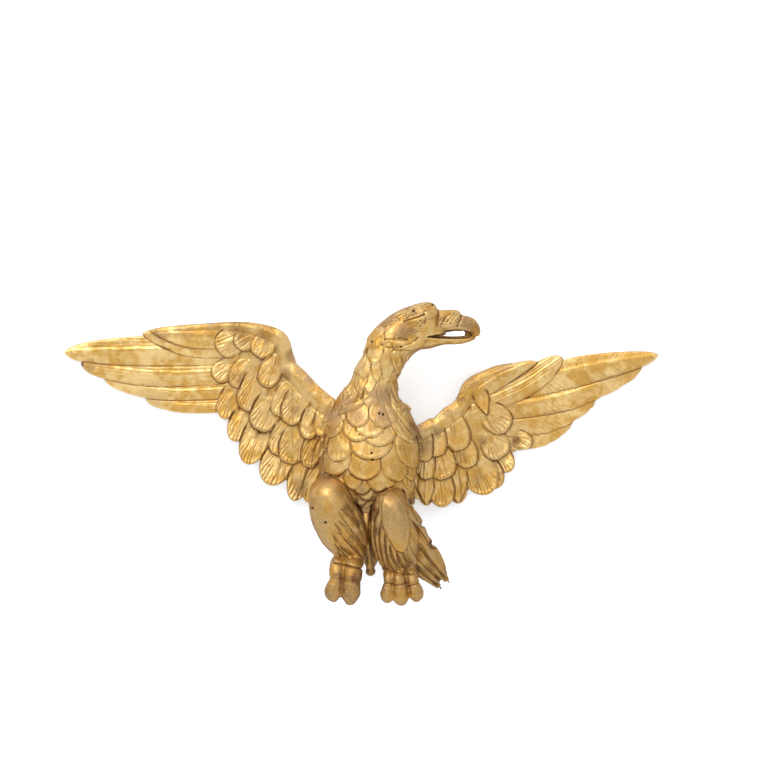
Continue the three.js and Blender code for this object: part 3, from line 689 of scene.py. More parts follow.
TOES = [
    [[-34, -64, -120, 11], [-36.5, -80, -126, 9.5], [-38.6, -88, -133, 8.4], [-39.2, -89, -141, 7.4],
     [-42, -86, -153.5, 10.2], [-42, -79, -160, 6], [-41, -70, -161, 3]],
    [[-22, -64, -120, 12], [-21, -82, -127, 11.5], [-21, -90, -135, 10.6], [-21.8, -91, -144, 10],
     [-23.3, -87, -156, 10.6], [-24, -80, -163, 6.5], [-24, -71, -164, 3]],
    [[24, -62, -130, 9], [20, -76, -134, 8], [18.5, -86, -139, 5.8], [17.7, -87, -146, 5.8],
     [16.8, -85, -157, 8.2], [17, -78, -162, 5], [17.5, -70, -163, 2.5]],
    [[31, -62, -130, 10], [29.5, -78, -134, 8.5], [29.5, -89, -140, 7.2], [30.5, -90, -147, 7.6],
     [31.5, -87, -158.5, 9.5], [32, -79, -164, 6], [32, -71, -165, 3]],
    [[39, -62, -130, 9], [42, -76, -134, 8], [44, -87, -140, 6.6], [46, -88, -147, 7],
     [48.3, -85, -155.5, 8.7], [48.5, -77, -160, 5.5], [48, -70, -161, 2.5]],
]
# Creases across a toe: how far along its joints, the width and the depth.
TOE_CREASES = [(2.8, 0.16, 1.0), (3.2, 0.08, 0.5), (3.6, 0.08, 0.5), (4.2, 0.08, 0.4)]
LEFT_TOES = 2  # how many of the toes are the left foot's
LEFT_CREASED, RIGHT_CREASED = 0.8, 1.1
# The palm that closes each foot behind its toes.
PALMS = [
    Form([[-30, -66, -122, 12, 12], [-31, -74, -134, 13, 14], [-33, -74, -149, 12, 13],
        [-33, -70, -159, 6, 8]]),
    Form([[31, -62, -130, 14, 10], [32, -72, -141, 16, 12], [32, -72, -153, 15, 12], [32, -68, -161, 7, 8]]),
]
HIND_TOES = [
    [[-28, -60, -122, 11], [-30, -48, -134, 9], [-31, -47, -147, 7], [-31, -56, -155, 3]],
    [[31, -58, -130, 12], [33, -48, -142, 9], [33, -48, -153, 7], [33, -57, -160, 3]],
]
BROW = Form([[34, -70, 140, 3, 3], [48, -72.5, 144, 4.5, 4.5], [61, -71, 148, 5, 5], [73, -65, 150, 3, 4]])
CHEEK = Form([[16, -70, 122, 4, 3], [30, -72, 116, 6, 4], [46, -70, 116, 6, 4], [60, -67, 121, 3, 3]])
EYE = [52, -71, 139.5, 4]
BUTTON = [-1.5, -57, -132, 5.5]
# The ridge that runs down between the legs to the button.
GROIN = Form([[-7, -52, -58, 7, 9], [-6, -60, -76, 6, 9], [-5, -64, -96, 3.8, 8], [-3, -62, -116, 4, 8],
    [-1.5, -57, -130, 6, 8]])
BACK_BLOCK = [
    [LEFT_JOINT_X, -48], [LEFT_JOINT_X, 48], [-32, 50], [24, 48], [34, 40], [RIGHT_JOINT_X, 27],
    [RIGHT_JOINT_X, -56], [20, -80], [-20, -80],
]
# Breast and belly feathers, each [x, z, half width, half length, heading], from the lowest up.
BREAST = [
    [-6, -62, 7, 8, 270], [-12, -54, 7, 7, 268], [-6, -47, 9, 8, 276], [-11, -35, 12, 13, 272],
    [-21, -32, 11, 11, 262], [34, -36, 15, 18, 282], [43, -30, 9, 15, 276], [10, -30, 16, 16, 276],
    [-8, -15, 19, 17, 272], [44, -12, 12, 21, 276], [25, -14, 15, 20, 280], [-40, -6, 17, 22, 262],
    [-46, 10, 11, 15, 258], [-37, 4, 15, 16, 266], [42, 4, 15, 24, 286], [-1, 9, 24, 19, 270],
    [8, 22, 20, 17, 276], [-16, 27, 17, 17, 266], [-2, 30, 18, 16, 270], [-44, 30, 12, 16, 252],
    [42, 30, 10, 18, 288], [-43, 40, 13, 16, 250], [-15, 42, 14, 17, 264], [12, 42, 16, 17, 274],
]
SIDE_FEATHERS = [
    [side * out, level, 15, 20, 270 - side * 8]
    for out, level in ((58, -40), (66, -22), (60, -6), (68, 12), (58, 28)) for side in (-1, 1)
]
FRILLS = 3  # how many of the first are the short, deeply fringed feathers of the belly
# Rows of narrower feathers up the neck: the station, how many, half the width and length, and the turn.
NECK_ROWS = [
    (8.4, 12, 8.5, 16, 0), (9.4, 11, 8, 15, 0.4), (10.35, 11, 7.6, 15, 0.95), (11.3, 11, 7.4, 14, 0.4),
    (12.3, 11, 7.4, 13, 0.95), (13.3, 11, 7.2, 12, 0.4),
]
# Feathers of the neck's front, as in BREAST.
NECK = [
    [-25, 58, 9, 15, 252], [14, 50, 12, 17, 272], [0, 58, 11, 15, 268], [17, 60, 11, 16, 274],
    [28, 58, 8, 18, 284],
    [-20, 69, 9, 16, 258], [-29, 76, 8, 16, 256], [16, 73, 8.5, 14, 271], [-2.5, 75, 8.5, 14, 267],
    [-13, 77, 8, 15, 262], [27, 76, 7.5, 17, 276], [-9, 92, 9, 14, 263], [5.5, 90, 8.5, 14.5, 270],
    [18, 94, 9.5, 18, 271], [30, 96, 7, 13, 280], [-18, 98, 9, 14, 256], [2, 106, 11, 12, 268],
]
SHOULDER_LOCKS = locks([
    ([[-15, 64], [-26, 53], [-38, 44], [-46, 33]], [5, 9, 10, 5]),
    ([[-6, 58], [-16, 50], [-27, 46], [-36, 40]], [4, 8, 8, 3]),
    ([[29, 57], [35, 44], [44, 33], [53, 21]], [5, 9, 9, 4]),
    ([[22, 60], [28, 44], [39, 29], [51, 16]], [5, 10, 10, 4]),
    ([[16, 52], [24, 34], [34, 19], [46, 8]], [5, 10, 11, 5]),
], lift=1.8, ridge=1.1, barbs=0.9, pitch=3.2, mark=0.9)
LEFT_LOCKS = locks([
    ([[-37, -111], [-26, -118], [-13, -127]], [4, 9, 3]),
    ([[-42, -99], [-29, -110], [-15, -120], [-8, -129]], [4, 10, 9, 3]),
    ([[-45, -87], [-31, -101], [-18, -113], [-7, -126]], [4, 11, 10, 3]),
    ([[-42, -74], [-29, -89], [-16, -104], [-6, -121]], [3, 10, 11, 4]),
    ([[-38, -61], [-27, -73], [-13, -89], [-3, -110]], [3, 9, 11, 4]),
    ([[-32, -41], [-23, -56], [-14, -70], [-7, -91], [-3, -112]], [3, 7, 8, 9, 5]),
], lift=3.4, ridge=1.2, barbs=1.0, pitch=3.2)
RIGHT_LOCKS = locks([
    ([[5, -49], [1, -71], [2, -99], [5, -123]], [4, 8, 8, 4]),
    ([[9, -55], [5.5, -77], [6.5, -101], [11, -128]], [4, 8, 8, 4]),
    ([[12, -71], [11, -93], [13, -112], [17, -130]], [4, 8, 8, 4]),
    ([[15, -88], [18, -104], [21, -120], [27, -133]], [4, 9, 9, 4]),
    ([[21, -100], [26, -116], [35, -131]], [5, 10, 5]),
    ([[28, -108], [35, -121], [45, -134]], [5, 11, 5]),
    ([[35, -52], [43, -68], [53, -86], [66, -107]], [4, 10, 10, 4]),
    ([[36, -110], [43, -124], [54, -136], [72, -151]], [5, 11, 10, 3]),
    ([[40, -103], [47, -118], [60, -133], [76, -148]], [5, 11, 11, 3]),
    ([[42, -89], [50, -107], [64, -126], [80, -144]], [5, 12, 11, 3]),
    ([[40, -71], [47, -88], [58, -105], [70, -122], [84, -141]], [4, 11, 12, 10, 3]),
], lift=3.4, ridge=1.2, barbs=1.0, pitch=3.2)
RIGHT_SHIELD = [26, -77, 16, 35, 282]  # the smooth front of the right thigh
TRUNK_GROUND, LOCK_GROUND = -1.2, -2.4
HEAD_FROM_STATION, HEAD_FROM_Z = 12.4, 108
# The hem of the left thigh over its foot, and the hollows of the right foot's top.
LEG_CUTS = [
    ([[-40, -122], [-27, -125], [-9, -129]], 1.8, 2.2),
    ([[10, -127], [22, -131], [34, -134], [46, -134]], 1.8, 1.6),
]
# Grooves of the head: a line of [x, z] points, the width and the depth.
HEAD_CUTS = [
    ([[35, 140.8], [44, 144], [52, 146.3], [57, 149]], 2.1, 2.0),
    ([[14, 137.5], [28.5, 144], [42, 151.3]], 1.3, 0.6),
    ([[57.2, 149.5], [59, 143], [57.8, 137.5]], 1.5, 0.9),
    ([[71.5, 157], [73.2, 147.4], [71.5, 136.4]], 2.4, 1.3),
    ([[14.3, 134.2], [13.2, 127.6], [14.3, 121]], 1.5, 1.0),
    ([[14.3, 121], [22, 121.6], [31, 123.2], [39, 121.6]], 1.6, 1.1),
    ([[14.3, 112.8], [23, 112.2], [33, 113.3], [43, 117.2], [50.6, 123.2]], 1.6, 1.1),
    ([[76, 137.5], [78, 142], [80.3, 146.3]], 1.5, 1.1),
    ([[78.5, 141.5], [82.5, 147.4], [85.8, 150.5]], 1.5, 1.2),
    ([[82.5, 140.8], [87, 146.3], [91, 150.5]], 1.5, 1.2),
    ([[87, 142], [91.3, 147.4], [93.5, 149.6]], 1.4, 1.0),
    ([[98.5, 150], [97, 143], [93, 135]], 2.0, 1.5),
    ([[60.5, 119.9], [75, 118.6], [91, 117.9], [104.5, 120]], 1.2, 0.6),
    ([[60.5, 129.4], [75, 131.3], [91.3, 135], [105, 133.5]], 1.3, 0.7),
]
# Where the head's surface is pricked: a line of [x, z] points and how far from it.
STIPPLED = [
    ([[8, 137], [28, 146], [50, 153], [64, 158]], 7), ([[40, 129], [55, 138]], 7),
    ([[76, 139], [92, 143]], 6), ([[101, 142], [112, 134]], 7),
]
# Where the head is hatched: a line of [x, z] points, how far from it, the strokes' heading and their pitch.
HATCHED = [
    ([[8, 137], [28, 147], [47, 152.5]], 6, 25, 2.7), ([[46, 127], [55, 137]], 6, 130, 2.0),
    ([[26, 121], [40, 126]], 4, 15, 2.4), ([[74, 138], [84, 146]], 5, 50, 2.2),
]
# Where the body is painted darker, each [x, z, radius, how much]: painted shade in hollows, and browner spots.
SHADED = [
    [36, 132, 13, 0.6], [112, 133, 8, 0.6], [14, 146, 13, 0.4], [40, 150, 8, 0.25], [75, 145, 4, 0.5],
    [-12, 62, 10, 0.3], [12, 60, 14, 0.35], [-34, 46, 12, 0.3], [46, 24, 9, 0.35], [21, -126, 10, 0.5],
    [-22, -54, 8, 0.7], [-25, -64, 8, 0.7], [-17, -77, 8, 0.7], [-11, -94, 7, 0.7], [-22, -96, 6, 0.6],
    [-16, -107, 6, 0.6], [-9, -116, 6, 0.6], [-33, -44, 9, 0.4], [-68, -56, 8, 0.3], [-20, -134, 10, 0.4],
    [3, -66, 6, 0.7], [2, -88, 7, 0.6], [9, -108, 9, 0.6], [14, -121, 10, 0.7], [22, -121, 8, 0.6],
    [53, -110, 9, 0.4], [64, -127, 7, 0.4], [36, -121, 9, 0.5], [58, -76, 8, 0.3], [68, -98, 8, 0.5],
    [104, 140, 8, 0.5], [-44, 20, 7, 0.5], [-54, -14, 10, 0.5], [-52, -26, 8, 0.6], [44, -52, 7, 0.5],
    [48, 28, 9, 0.5], [50, 14, 7, 0.4], [-10, -42, 8, 0.3], [-32, -138, 4, 0.8], [-33, -152, 4, 0.8],
    [24, -142, 3.5, 0.8], [24, -155, 3.5, 0.8], [38, -142, 3.5, 0.8], [40, -155, 3.5, 0.8],
    [-15, -140, 7, 0.6],
]
WORM_HOLES = [
    [66.3, 159.2], [45.3, 152.9], [-0.4, 118.7], [31.6, 112.9], [8.4, 40.5], [12.3, 39.4], [-0.1, -2.8],
    [0.7, -10], [-65.3, -62.9], [-50.9, -78.4],
]
HOLE_RADIUS = 1.15
# Broken out of the right tufts' edge.
NOTCHES = [[69.5, -57, -111.5, 4], [60, -58, -84.5, 3]]  # x, y, z, radius
# Where the leaf is worn thin over its ground, each [x, z, radius, how much].
WORN = [
    [-16, 37, 15, 0.8], [13, 38, 16, 0.9], [8, 58, 15, 0.9], [-26, 50, 11, 0.8], [-42, 38, 13, 0.9],
    [-1, 29, 16, 0.4], [50, 25, 12, 0.7], [104, 139, 10, 0.8], [12, 142, 14, 0.7], [30, 128, 12, 0.5],
    [20, -55, 13, 0.3], [-52, -35, 13, 0.5], [-78, 88, 9, 0.7], [-68, 78, 8, 0.9], [-88, 100, 9, 0.5],
    [92, 70, 8, 0.5],
]
CHIPS = [[57, -80.3, 5.5], [67, -103, 6.5],
    [-319, 94.5, 3]]  # where the gilding and some wood are lost: x, z, radius


def to_line(x, z, line):
    """The distance from each point to a line of [x, z] points."""
    least = np.full(len(x), 1e9)
    for (ax, az), (bx, bz) in zip(line[:-1], line[1:]):
        dx, dz = bx - ax, bz - az
        t = np.clip(((x - ax) * dx + (z - az) * dz) / (dx * dx + dz * dz), 0, 1)
        least = np.minimum(least, np.hypot(x - ax - t * dx, z - az - t * dz))
    return least


def lay_ring(relief, chosen, form, s, angle, rows, towards, **finish):
    """Rows of narrow feathers round a form. chosen are the points that may carry them."""
    level = form.length(s)
    for row, (station, count, half_width, half_length, turn) in enumerate(rows):
        here, girth = form.length(station), float(form.girth(np.array([station]))[0])
        for k in range(count):
            middle = 2 * math.pi * (k + turn) / count
            off_angle = (angle - middle + math.pi) % (2 * math.pi) - math.pi
            reach = 1.6 * half_length
            near = np.nonzero(chosen & (np.abs(off_angle) * girth < reach) & (np.abs(level - here) < reach))[0]
            out, up = off_angle[near] * girth, (level[near] - here) * towards
            sway = math.sin(5.1 * k + 2.3 * row)
            spot = [1.2 * sway, 2.5 * sway, half_width, half_length * (1 + 0.12 * sway), 90 + 6 * sway]
            lay_scallop(relief, near, out, up, spot, seed=7 * row + k, **finish)


def trunk_relief(places):
    """The carving of the trunk and neck, and which points lie on it."""
    s, angle, _, above = TRUNK.locate(places)
    centre = through(TRUNK.stations, np.clip(s, 0, TRUNK.last))
    steep = math.radians(45)
    turned = np.where(
        np.abs(angle) < steep,
        np.sin(angle),
        np.sign(angle) * (math.sin(steep) + (np.abs(angle) - steep) * math.cos(steep)),
    )
    x, z = centre[:, 0] + centre[:, 3] * turned, places[:, 2]
    on_trunk = (np.abs(above) < 2.2) & (s > 0.2) & (s < 14.4)
    relief = Relief(len(x), TRUNK_GROUND)
    lay_ring(
        relief, on_trunk & (s > 7.4), TRUNK, s, angle, NECK_ROWS, -1,
        ground=-1.0, sink=0.8, lift=1.4, crown=1.0, pointed=0.35, pitch=3.2, ridge=0.4, line=0.45, barbs=0.5,
    )
    for number, spot in enumerate(NECK):
        near = np.nonzero(on_trunk & round_about(spot, x, z, 24) & (s < 12.8))[0]
        lay_scallop(
            relief, near, x[near], z[near], spot, ground=-1.0, sink=0.5, lift=1.5, crown=0.9, pointed=0.4,
            pitch=3.4, ridge=0.7 * (number % 2), line=0.4, barbs=0.35, seed=number + 50, full=2.3,
        )
    for number, spot in enumerate(SIDE_FEATHERS + BREAST):
        frill = 0 <= number - len(SIDE_FEATHERS) < FRILLS
        near = np.nonzero(on_trunk & round_about(spot, x, z, 1.3 * max(spot[2:4])) & (s < 10.5))[0]
        lay_scallop(
            relief, near, x[near], z[near], spot, ground=TRUNK_GROUND, sink=1.3, lift=2.6, crown=1.1,
            pitch=2.2 if frill else 3.2,
            line=0.9, barbs=1.0 if frill else 0.7, seed=number,
        )
    for lock in SHOULDER_LOCKS:
        lock.lay_on(relief, x, z, relief.height * 0.5, on_trunk)
    fade = ramp(14.2, 12.6, s) * ramp(0.0, 0.8, s)
    relief.height *= fade
    relief.crease *= fade
    relief.barbs *= fade
    return relief, on_trunk


def leg_relief(places, forms, leg_locks, shield=None):
    """The carving of a leg and its tufts: long locks round a smooth knee."""
    x, z = places[:, 0], places[:, 2]
    relief = Relief(len(x), LOCK_GROUND)
    on_leg, in_front, smooth = (np.zeros(len(x), bool) for _ in range(3))
    for form in forms:
        s, angle, _, above = form.locate(places)
        here = (np.abs(above) < 2.4) & (s > -0.2) & (s < form.last + 0.4)
        on_leg |= here
        in_front |= here & (np.abs(angle) < math.radians(100))
        bend = 0.8 * noise(np.stack([angle * 7, form.length(s) / 5], axis=1), 3.0, 8)
        turns = angle * form.girth(np.clip(s, 0, form.last)) / 8 + bend
        groove = strokes(turns * 2 * math.pi) * ramp(1.4, 3.0, s)
        relief.height[here] = (LOCK_GROUND + 1.6 * groove)[here]
        # the grooves between the locks are painted darker: glaze and painted shade
        relief.crease[here] = -0.8 * groove[here]
        relief.phase[here] = 6 * math.pi * turns[here]
        relief.barbs[here] = ramp(1.4, 3.0, s)[here]
        if form is forms[0]:
            smooth = here & in_front
    relief.height[smooth] = -0.4
    relief.crease[smooth] = 0
    relief.barbs[smooth] = 0
    ground = np.full(len(x), LOCK_GROUND)
    for lock in leg_locks:
        lock.lay_on(relief, x, z, ground, in_front)
    if shield:
        near = np.nonzero(in_front & (np.abs(x - shield[0]) < 40) & (np.abs(z - shield[1]) < 46))[0]
        lay_scallop(
            relief, near, x[near], z[near], shield, ground=LOCK_GROUND, lift=2.8, sink=-1.2, crown=2.2,
            pointed=0.25,
            pitch=4.5, barbs=0.12,
        )
    return relief, on_leg


def head_relief(places, normals):
    x, z = places[:, 0], places[:, 2]
    relief = Relief(len(x))
    shown = ramp(0.35, -0.1, normals[:, 1])
    for line, width, depth in HEAD_CUTS:
        relief.cut(to_line(x, z, line), width, depth)
    relief.height *= shown
    relief.crease *= shown
    for line, reach, heading, pitch in HATCHED:
        turn = math.radians(heading)
        here = to_line(x, z, line) < reach
        offset = (z * math.cos(turn) - x * math.sin(turn))[here] + 0.5 * noise(places[here], 5.0, 21)
        relief.phase[here] = 2 * math.pi * offset / pitch
        relief.barbs[here] = shown[here] * ramp(reach, 0.5 * reach, to_line(x[here], z[here], line))
    return relief


def merge(whole, part, chosen, names=("height", "crease", "phase", "barbs")):
    for name in names:
        getattr(whole, name)[chosen] = getattr(part, name)[chosen]


def body_relief(places, normals):
    """The carving of every part of the body."""
    x, z = places[:, 0], places[:, 2]
    whole, on_trunk = trunk_relief(places)
    not_trunk = ~on_trunk
    for name in ("height", "crease", "barbs"):
        getattr(whole, name)[not_trunk] = 0
    left = leg_relief(places, [LEFT_LEG], LEFT_LOCKS)
    right = leg_relief(places, [RIGHT_LEG, *RIGHT_TUFTS], RIGHT_LOCKS, RIGHT_SHIELD)
    for part, chosen in (left, right):
        merge(whole, part, chosen & (not_trunk | (places[:, 1] < -45)) & (z > -136))
    merge(whole, right[0], right[1] & (z <= -136) & (x > 46))
    for number, joints in enumerate(TOES):
        wrinkle_toe(whole, places, np.array(joints, float),
            LEFT_CREASED if number < LEFT_TOES else RIGHT_CREASED)
    in_front = places[:, 1] < -64
    for line, width, depth in LEG_CUTS:
        groove = depth * hump(to_line(x, z, line), 0.6 * width) * in_front
        whole.height -= groove
        # the hem and the hollows are painted darker too: glaze and painted shade
        whole.crease = np.maximum(whole.crease, np.clip(0.6 * groove, 0, 1))
    on_head = (TRUNK.locate(places)[0] > HEAD_FROM_STATION) & (z > HEAD_FROM_Z)
    head = head_relief(places, normals)
    whole.height[on_head] += head.height[on_head]
    whole.crease[on_head] = np.maximum(whole.crease, head.crease)[on_head]
    merge(whole, head, on_head & (head.barbs > 0), ("phase", "barbs"))
    whole.height += 0.38 * noise(places, 7.0, 11) + 0.16 * noise(places, 3.0, 12)
    whole.height += 0.45 * whole.barbs * strokes(whole.phase)
    for cx, cz, radius in CHIPS:
        lost = ramp(1.0, 0.45, np.hypot(x - cx, z - cz) / radius + 0.25 * noise(places, 2.5, 13))
        whole.height -= 2.8 * lost
    return whole


def wrinkle_toe(relief, places, joints, share):
    """Cuts a share of the depth of the creases between a toe's knuckle and its ball, and of those on the ball."""
    s = np.linspace(0, len(joints) - 1, 60)
    line = through(joints, s)
    near = np.nonzero((np.abs(places - line[:, :3].mean(axis=0)) < 40).all(axis=1))[0]
    gaps = ((places[near, None] - line[None, :, :3]) ** 2).sum(axis=2)
    nearest = gaps.argmin(axis=1)
    on_toe = np.sqrt(gaps.min(axis=1)) < line[nearest, 3] + 2.0
    near, place = near[on_toe], s[nearest[on_toe]]
    for at, width, depth in TOE_CREASES:
        groove = share * hump(place - at, width)
        relief.height[near] -= depth * groove
        # the creases are painted darker: glaze and painted shade
        relief.crease[near] = np.maximum(relief.crease[near], 0.75 * depth * groove)


def wear(places, normals):
    """What the years did: worm holes, bare chips and places where the leaf is thin."""
    x, z = places[:, 0], places[:, 2]
    holes, bare, thin = np.zeros((3, len(x)))
    for hx, hz in WORM_HOLES:
        holes = np.maximum(holes,
            ramp(1.35, 0.75, np.hypot(x - hx, z - hz) / HOLE_RADIUS) * (normals[:, 1] < -0.2))
    rough_edge = 0.25 * noise(places, 2.5, 13)
    for cx, cz, radius in CHIPS:
        bare = np.maximum(bare, ramp(1.05, 0.7, np.hypot(x - cx, z - cz) / radius + rough_edge))
    for cx, cz, radius, much in WORN:
        thin = np.maximum(thin, much * ramp(1.2, 0.2, np.hypot(x - cx, z - cz) / radius + rough_edge))
    return holes, bare, thin * ramp(0.2, -0.3, normals[:, 1])


def ball_part(x, y, z, radius):
    deselect_all()
    bpy.ops.mesh.primitive_uv_sphere_add(
        segments=24, ring_count=16, radius=radius * MM, location=(x * MM, y * MM, z * MM)
    )
    bpy.ops.object.transform_apply(location=True, rotation=False, scale=False)
    return bpy.context.object


# The mouth is hollowed from the front, and cut right through in its middle.
MOUTH_HOLLOW = [
    [59.4, 124.3], [68, 126.2], [78, 127.8], [89, 130.5], [101.2, 131.7], [107.8, 129.5], [110, 125.5],
    [106.7, 122.6], [99, 121.9], [85.8, 121.8], [72.6, 122.3], [61.6, 123.2],
]
MOUTH_OPENING = [
    [77.5, 125.6], [85.8, 128.5], [93.5, 130.2], [100.7, 130.8], [102, 128.4], [101.4, 125.4], [92.4, 124.8],
    [83.6, 124.8],
]
MOUTH_BACK = -52
MOUTH_FILL = [106.5, -47.5, 127, 5]  # closes the hollow of the hook behind


def carve_body(settings):
    parts = [
        rounded_part(TRUNK, 96, 160), rounded_part(UPPER_BEAK, 40, 60), rounded_part(LOWER_BEAK, 32, 48),
        rounded_part(CERE),
        rounded_part(LEFT_LEG, 56, 80), rounded_part(RIGHT_LEG, 56, 80), rounded_part(BROW),
        rounded_part(CHEEK),
        rounded_part(GROIN), ball_part(*MOUTH_FILL),
        blank(BACK_BLOCK, -REBATE_DEPTH, 4), ball_part(*EYE), ball_part(*BUTTON),
        *(rounded_part(form) for form in RIGHT_TUFTS + PALMS),
        *(toe_part(joints) for joints in TOES + HIND_TOES),
    ]
    body = fused(parts, "gilt_body", settings.body_voxel)
    apply_modifier(body, "SMOOTH", factor=0.5, iterations=4)
    places, normals = points_of(body), normals_of(body)
    relief = body_relief(places, normals)
    holes, _, _ = wear(places, normals)
    move_points(body, places + normals * (relief.height - 3.0 * holes)[:, None])
    apply_modifier(body, "SMOOTH", factor=0.3, iterations=1)
    cut_away(body, box_cutter([-FAR, 0, -FAR], [FAR, FAR, FAR]))
    cut_away(body, box_cutter([-FAR, -REBATE_DEPTH, -FAR], [LEFT_JOINT_X, FAR, FAR]))
    cut_away(body, box_cutter([RIGHT_JOINT_X, -REBATE_DEPTH, -FAR], [FAR, FAR, FAR]))
    cut_away(body, blank(MOUTH_HOLLOW, -FAR, MOUTH_BACK))
    cut_away(body, blank(MOUTH_OPENING, -FAR, FAR))
    for notch in NOTCHES:
        cut_away(body, ball_part(*notch))
    thinned(body, settings.most_triangles)
    places, normals = points_of(body), normals_of(body)
    on_legs = ramp(-28, -60, places[:, 2]) * ramp(-20, -50, places[:, 1])
    in_mouth = (places[:, 0] > 59) & (places[:, 0] < 112) & (np.abs(places[:, 2] - 126.5) < 5.2)
    in_mouth &= (places[:, 1] > -57 - 0.1 * (105 - places[:, 0])) & (normals[:, 1] < 0.9)
    x, z = places[:, 0], places[:, 2]
    on_head = ramp(98, 112, z)
    # Painted darker: painted shade in the mouth's hollow and at the SHADED spots, and browner legs, feet and
    # head.
    tone = 0.15 + 0.4 * on_legs + 0.2 * ramp(-122, -132, z) + 0.8 * in_mouth + 0.12 * on_head
    tone += shade_of(places, SHADED)
    pricked = np.zeros(len(x))
    for line, reach in STIPPLED:
        pricked = np.maximum(pricked, ramp(reach, 0.6 * reach, to_line(x, z, line)))
    write_attribute(body, "pricked", pricked * ramp(0.2, -0.2, normals[:, 1]))
    write_finish(body, places, normals, body_relief(places, normals), tone)
    return body


def carve_wing(wing, name, settings):
    obj = wing.flat_blank(name, settings.wing_voxel)
    places = points_of(obj)
    share = np.clip(-places[:, 1] / BLANK_THICKNESS, 0, 1)
    places[:, 1] = -wing.relief(places).height * share
    move_points(obj, places)
    apply_modifier(obj, "SMOOTH", factor=0.3, iterations=1)
    places = points_of(obj)
    places[:, 1] = np.minimum(places[:, 1], 0)
    move_points(obj, places)
    thinned(obj, settings.most_triangles)
    places, normals = points_of(obj), normals_of(obj)
    # Painted darker towards the body, with painted shade at the WINGS_SHADED spots.
    tone = 0.25 * ramp(190, 150, np.abs(places[:, 0])) + shade_of(places, WINGS_SHADED)
    write_finish(obj, places, normals, wing.relief(places), tone)
    return obj


def shade_of(places, spots):
    """How dark spots of [x, z, radius, how much] make each place."""
    x, z = places[:, 0], places[:, 2]
    return sum(much * ramp(1.2, 0.4, np.hypot(x - cx, z - cz) / radius) for cx, cz, radius, much in spots)


def write_finish(obj, places, normals, relief, tone):
    """Keeps what the gilding's material needs to know, at every vertex."""
    fine, broad = hollows(obj, places, normals)
    holes, bare, thin = wear(places, normals)
    front = ramp(0.25, -0.1, normals[:, 1])
    back = ramp(0.7, 0.9, normals[:, 1]) * ramp(-0.6, -0.1, places[:, 1])
    # Side walls are painted darker, as shade.
    shaded_sides = ramp(-0.6, -0.05, normals[:, 1]) * ramp(0.9, 0.3, normals[:, 1])
    # Painted shade with brown glaze along feather edges, in the grooves and in fine hollows.
    write_attribute(obj, "crease", np.clip(relief.crease * front + ramp(0.12, 0.8, fine), 0, 1))
    # Ridges are painted paler as a highlight, and are where the leaf rubs through.
    write_attribute(obj, "ridge", ramp(0.08, 0.6, -fine))
    write_attribute(obj, "barb_phase", relief.phase)
    write_attribute(obj, "barb_depth", relief.barbs * front)
    # Painted shade in broad hollows and on side walls, added to the darker spots given.
    write_attribute(obj, "tone", np.clip(tone + 0.6 * ramp(0.2, 2.0, broad) + 0.55 * shaded_sides, 0, 1))
    write_attribute(obj, "thin", thin)
    write_attribute(obj, "bare", np.maximum(bare, back))
    write_attribute(obj, "hole", holes)


def hollows(obj, places, normals):
    """How far each vertex lies below the mean of those around it, in millimetres, near by and further off."""
    edges = np.empty(2 * len(obj.data.edges), np.int32)
    obj.data.edges.foreach_get("vertices", edges)
    a, b = edges.reshape(-1, 2).T
    ends, others = np.concatenate([a, b]), np.concatenate([b, a])
    count = np.maximum(np.bincount(ends, minlength=len(places)), 1)[:, None]
    mean, found = places.copy(), []
    for rounds in (4, 40):
        for _ in range(rounds):
            total = np.stack([np.bincount(ends, mean[others, k], len(places)) for k in range(3)], axis=1)
            mean = 0.5 * mean + 0.5 * total / count
        found.append(((mean - places) * normals).sum(axis=1))
    return found


# Materials


class Nodes:
    """Short ways to add nodes to a tree and join them."""

    def __init__(self, tree):
        self.tree = tree

    def add(self, kind, inputs=None, **settings):
        node = self.tree.nodes.new(kind)
        for name, value in settings.items():
            setattr(node, name, value)
        for key, value in (inputs or {}).items():
            self.feed(node.inputs[key], value)
        return node

    def feed(self, socket, value):
        if isinstance(value, bpy.types.NodeSocket):
            self.tree.links.new(value, socket)
        else:
            socket.default_value = value

    def maths(self, operation, *values, clamp=False):
        node = self.add("ShaderNodeMath", dict(enumerate(values)), operation=operation, use_clamp=clamp)
        return node.outputs[0]

    def blend(self, share, first, second, blend_type="MIX"):
        node = self.add("ShaderNodeMix", data_type="RGBA", blend_type=blend_type)
        for index, value in ((0, share), (6, first), (7, second)):
            self.feed(node.inputs[index], value)
        return node.outputs[2]

    def range(self, value, low, high, to_low=0.0, to_high=1.0):
        node = self.add("ShaderNodeMapRange", {0: value, 1: low, 2: high, 3: to_low, 4: to_high})
        node.interpolation_type = "SMOOTHSTEP"
        return node.outputs[0]

    def noise(self, vector, scale, detail=3.0, roughness=0.55):
        node = self.add("ShaderNodeTexNoise", {"Vector": vector, "Scale": scale, "Detail": detail})
        node.inputs["Roughness"].default_value = roughness
        return node.outputs["Fac"]

    def attribute(self, name):
        return self.add("ShaderNodeAttribute", attribute_name=name, attribute_type="GEOMETRY").outputs["Fac"]


GILDING_INPUTS = [
    ("Leaf", "NodeSocketColor"), ("Pale Leaf", "NodeSocketColor"), ("Toning", "NodeSocketColor"),
    ("Bole", "NodeSocketColor"), ("Wood", "NodeSocketColor"), ("Hole", "NodeSocketColor"),
    ("Toning Amount", "NodeSocketFloat"), ("Wear Amount", "NodeSocketFloat"),
]
GILDING_OUTPUTS = [
    ("Color", "NodeSocketColor"), ("Roughness", "NodeSocketFloat"), ("Metallic", "NodeSocketFloat"),
    ("Height", "NodeSocketFloat"),
]


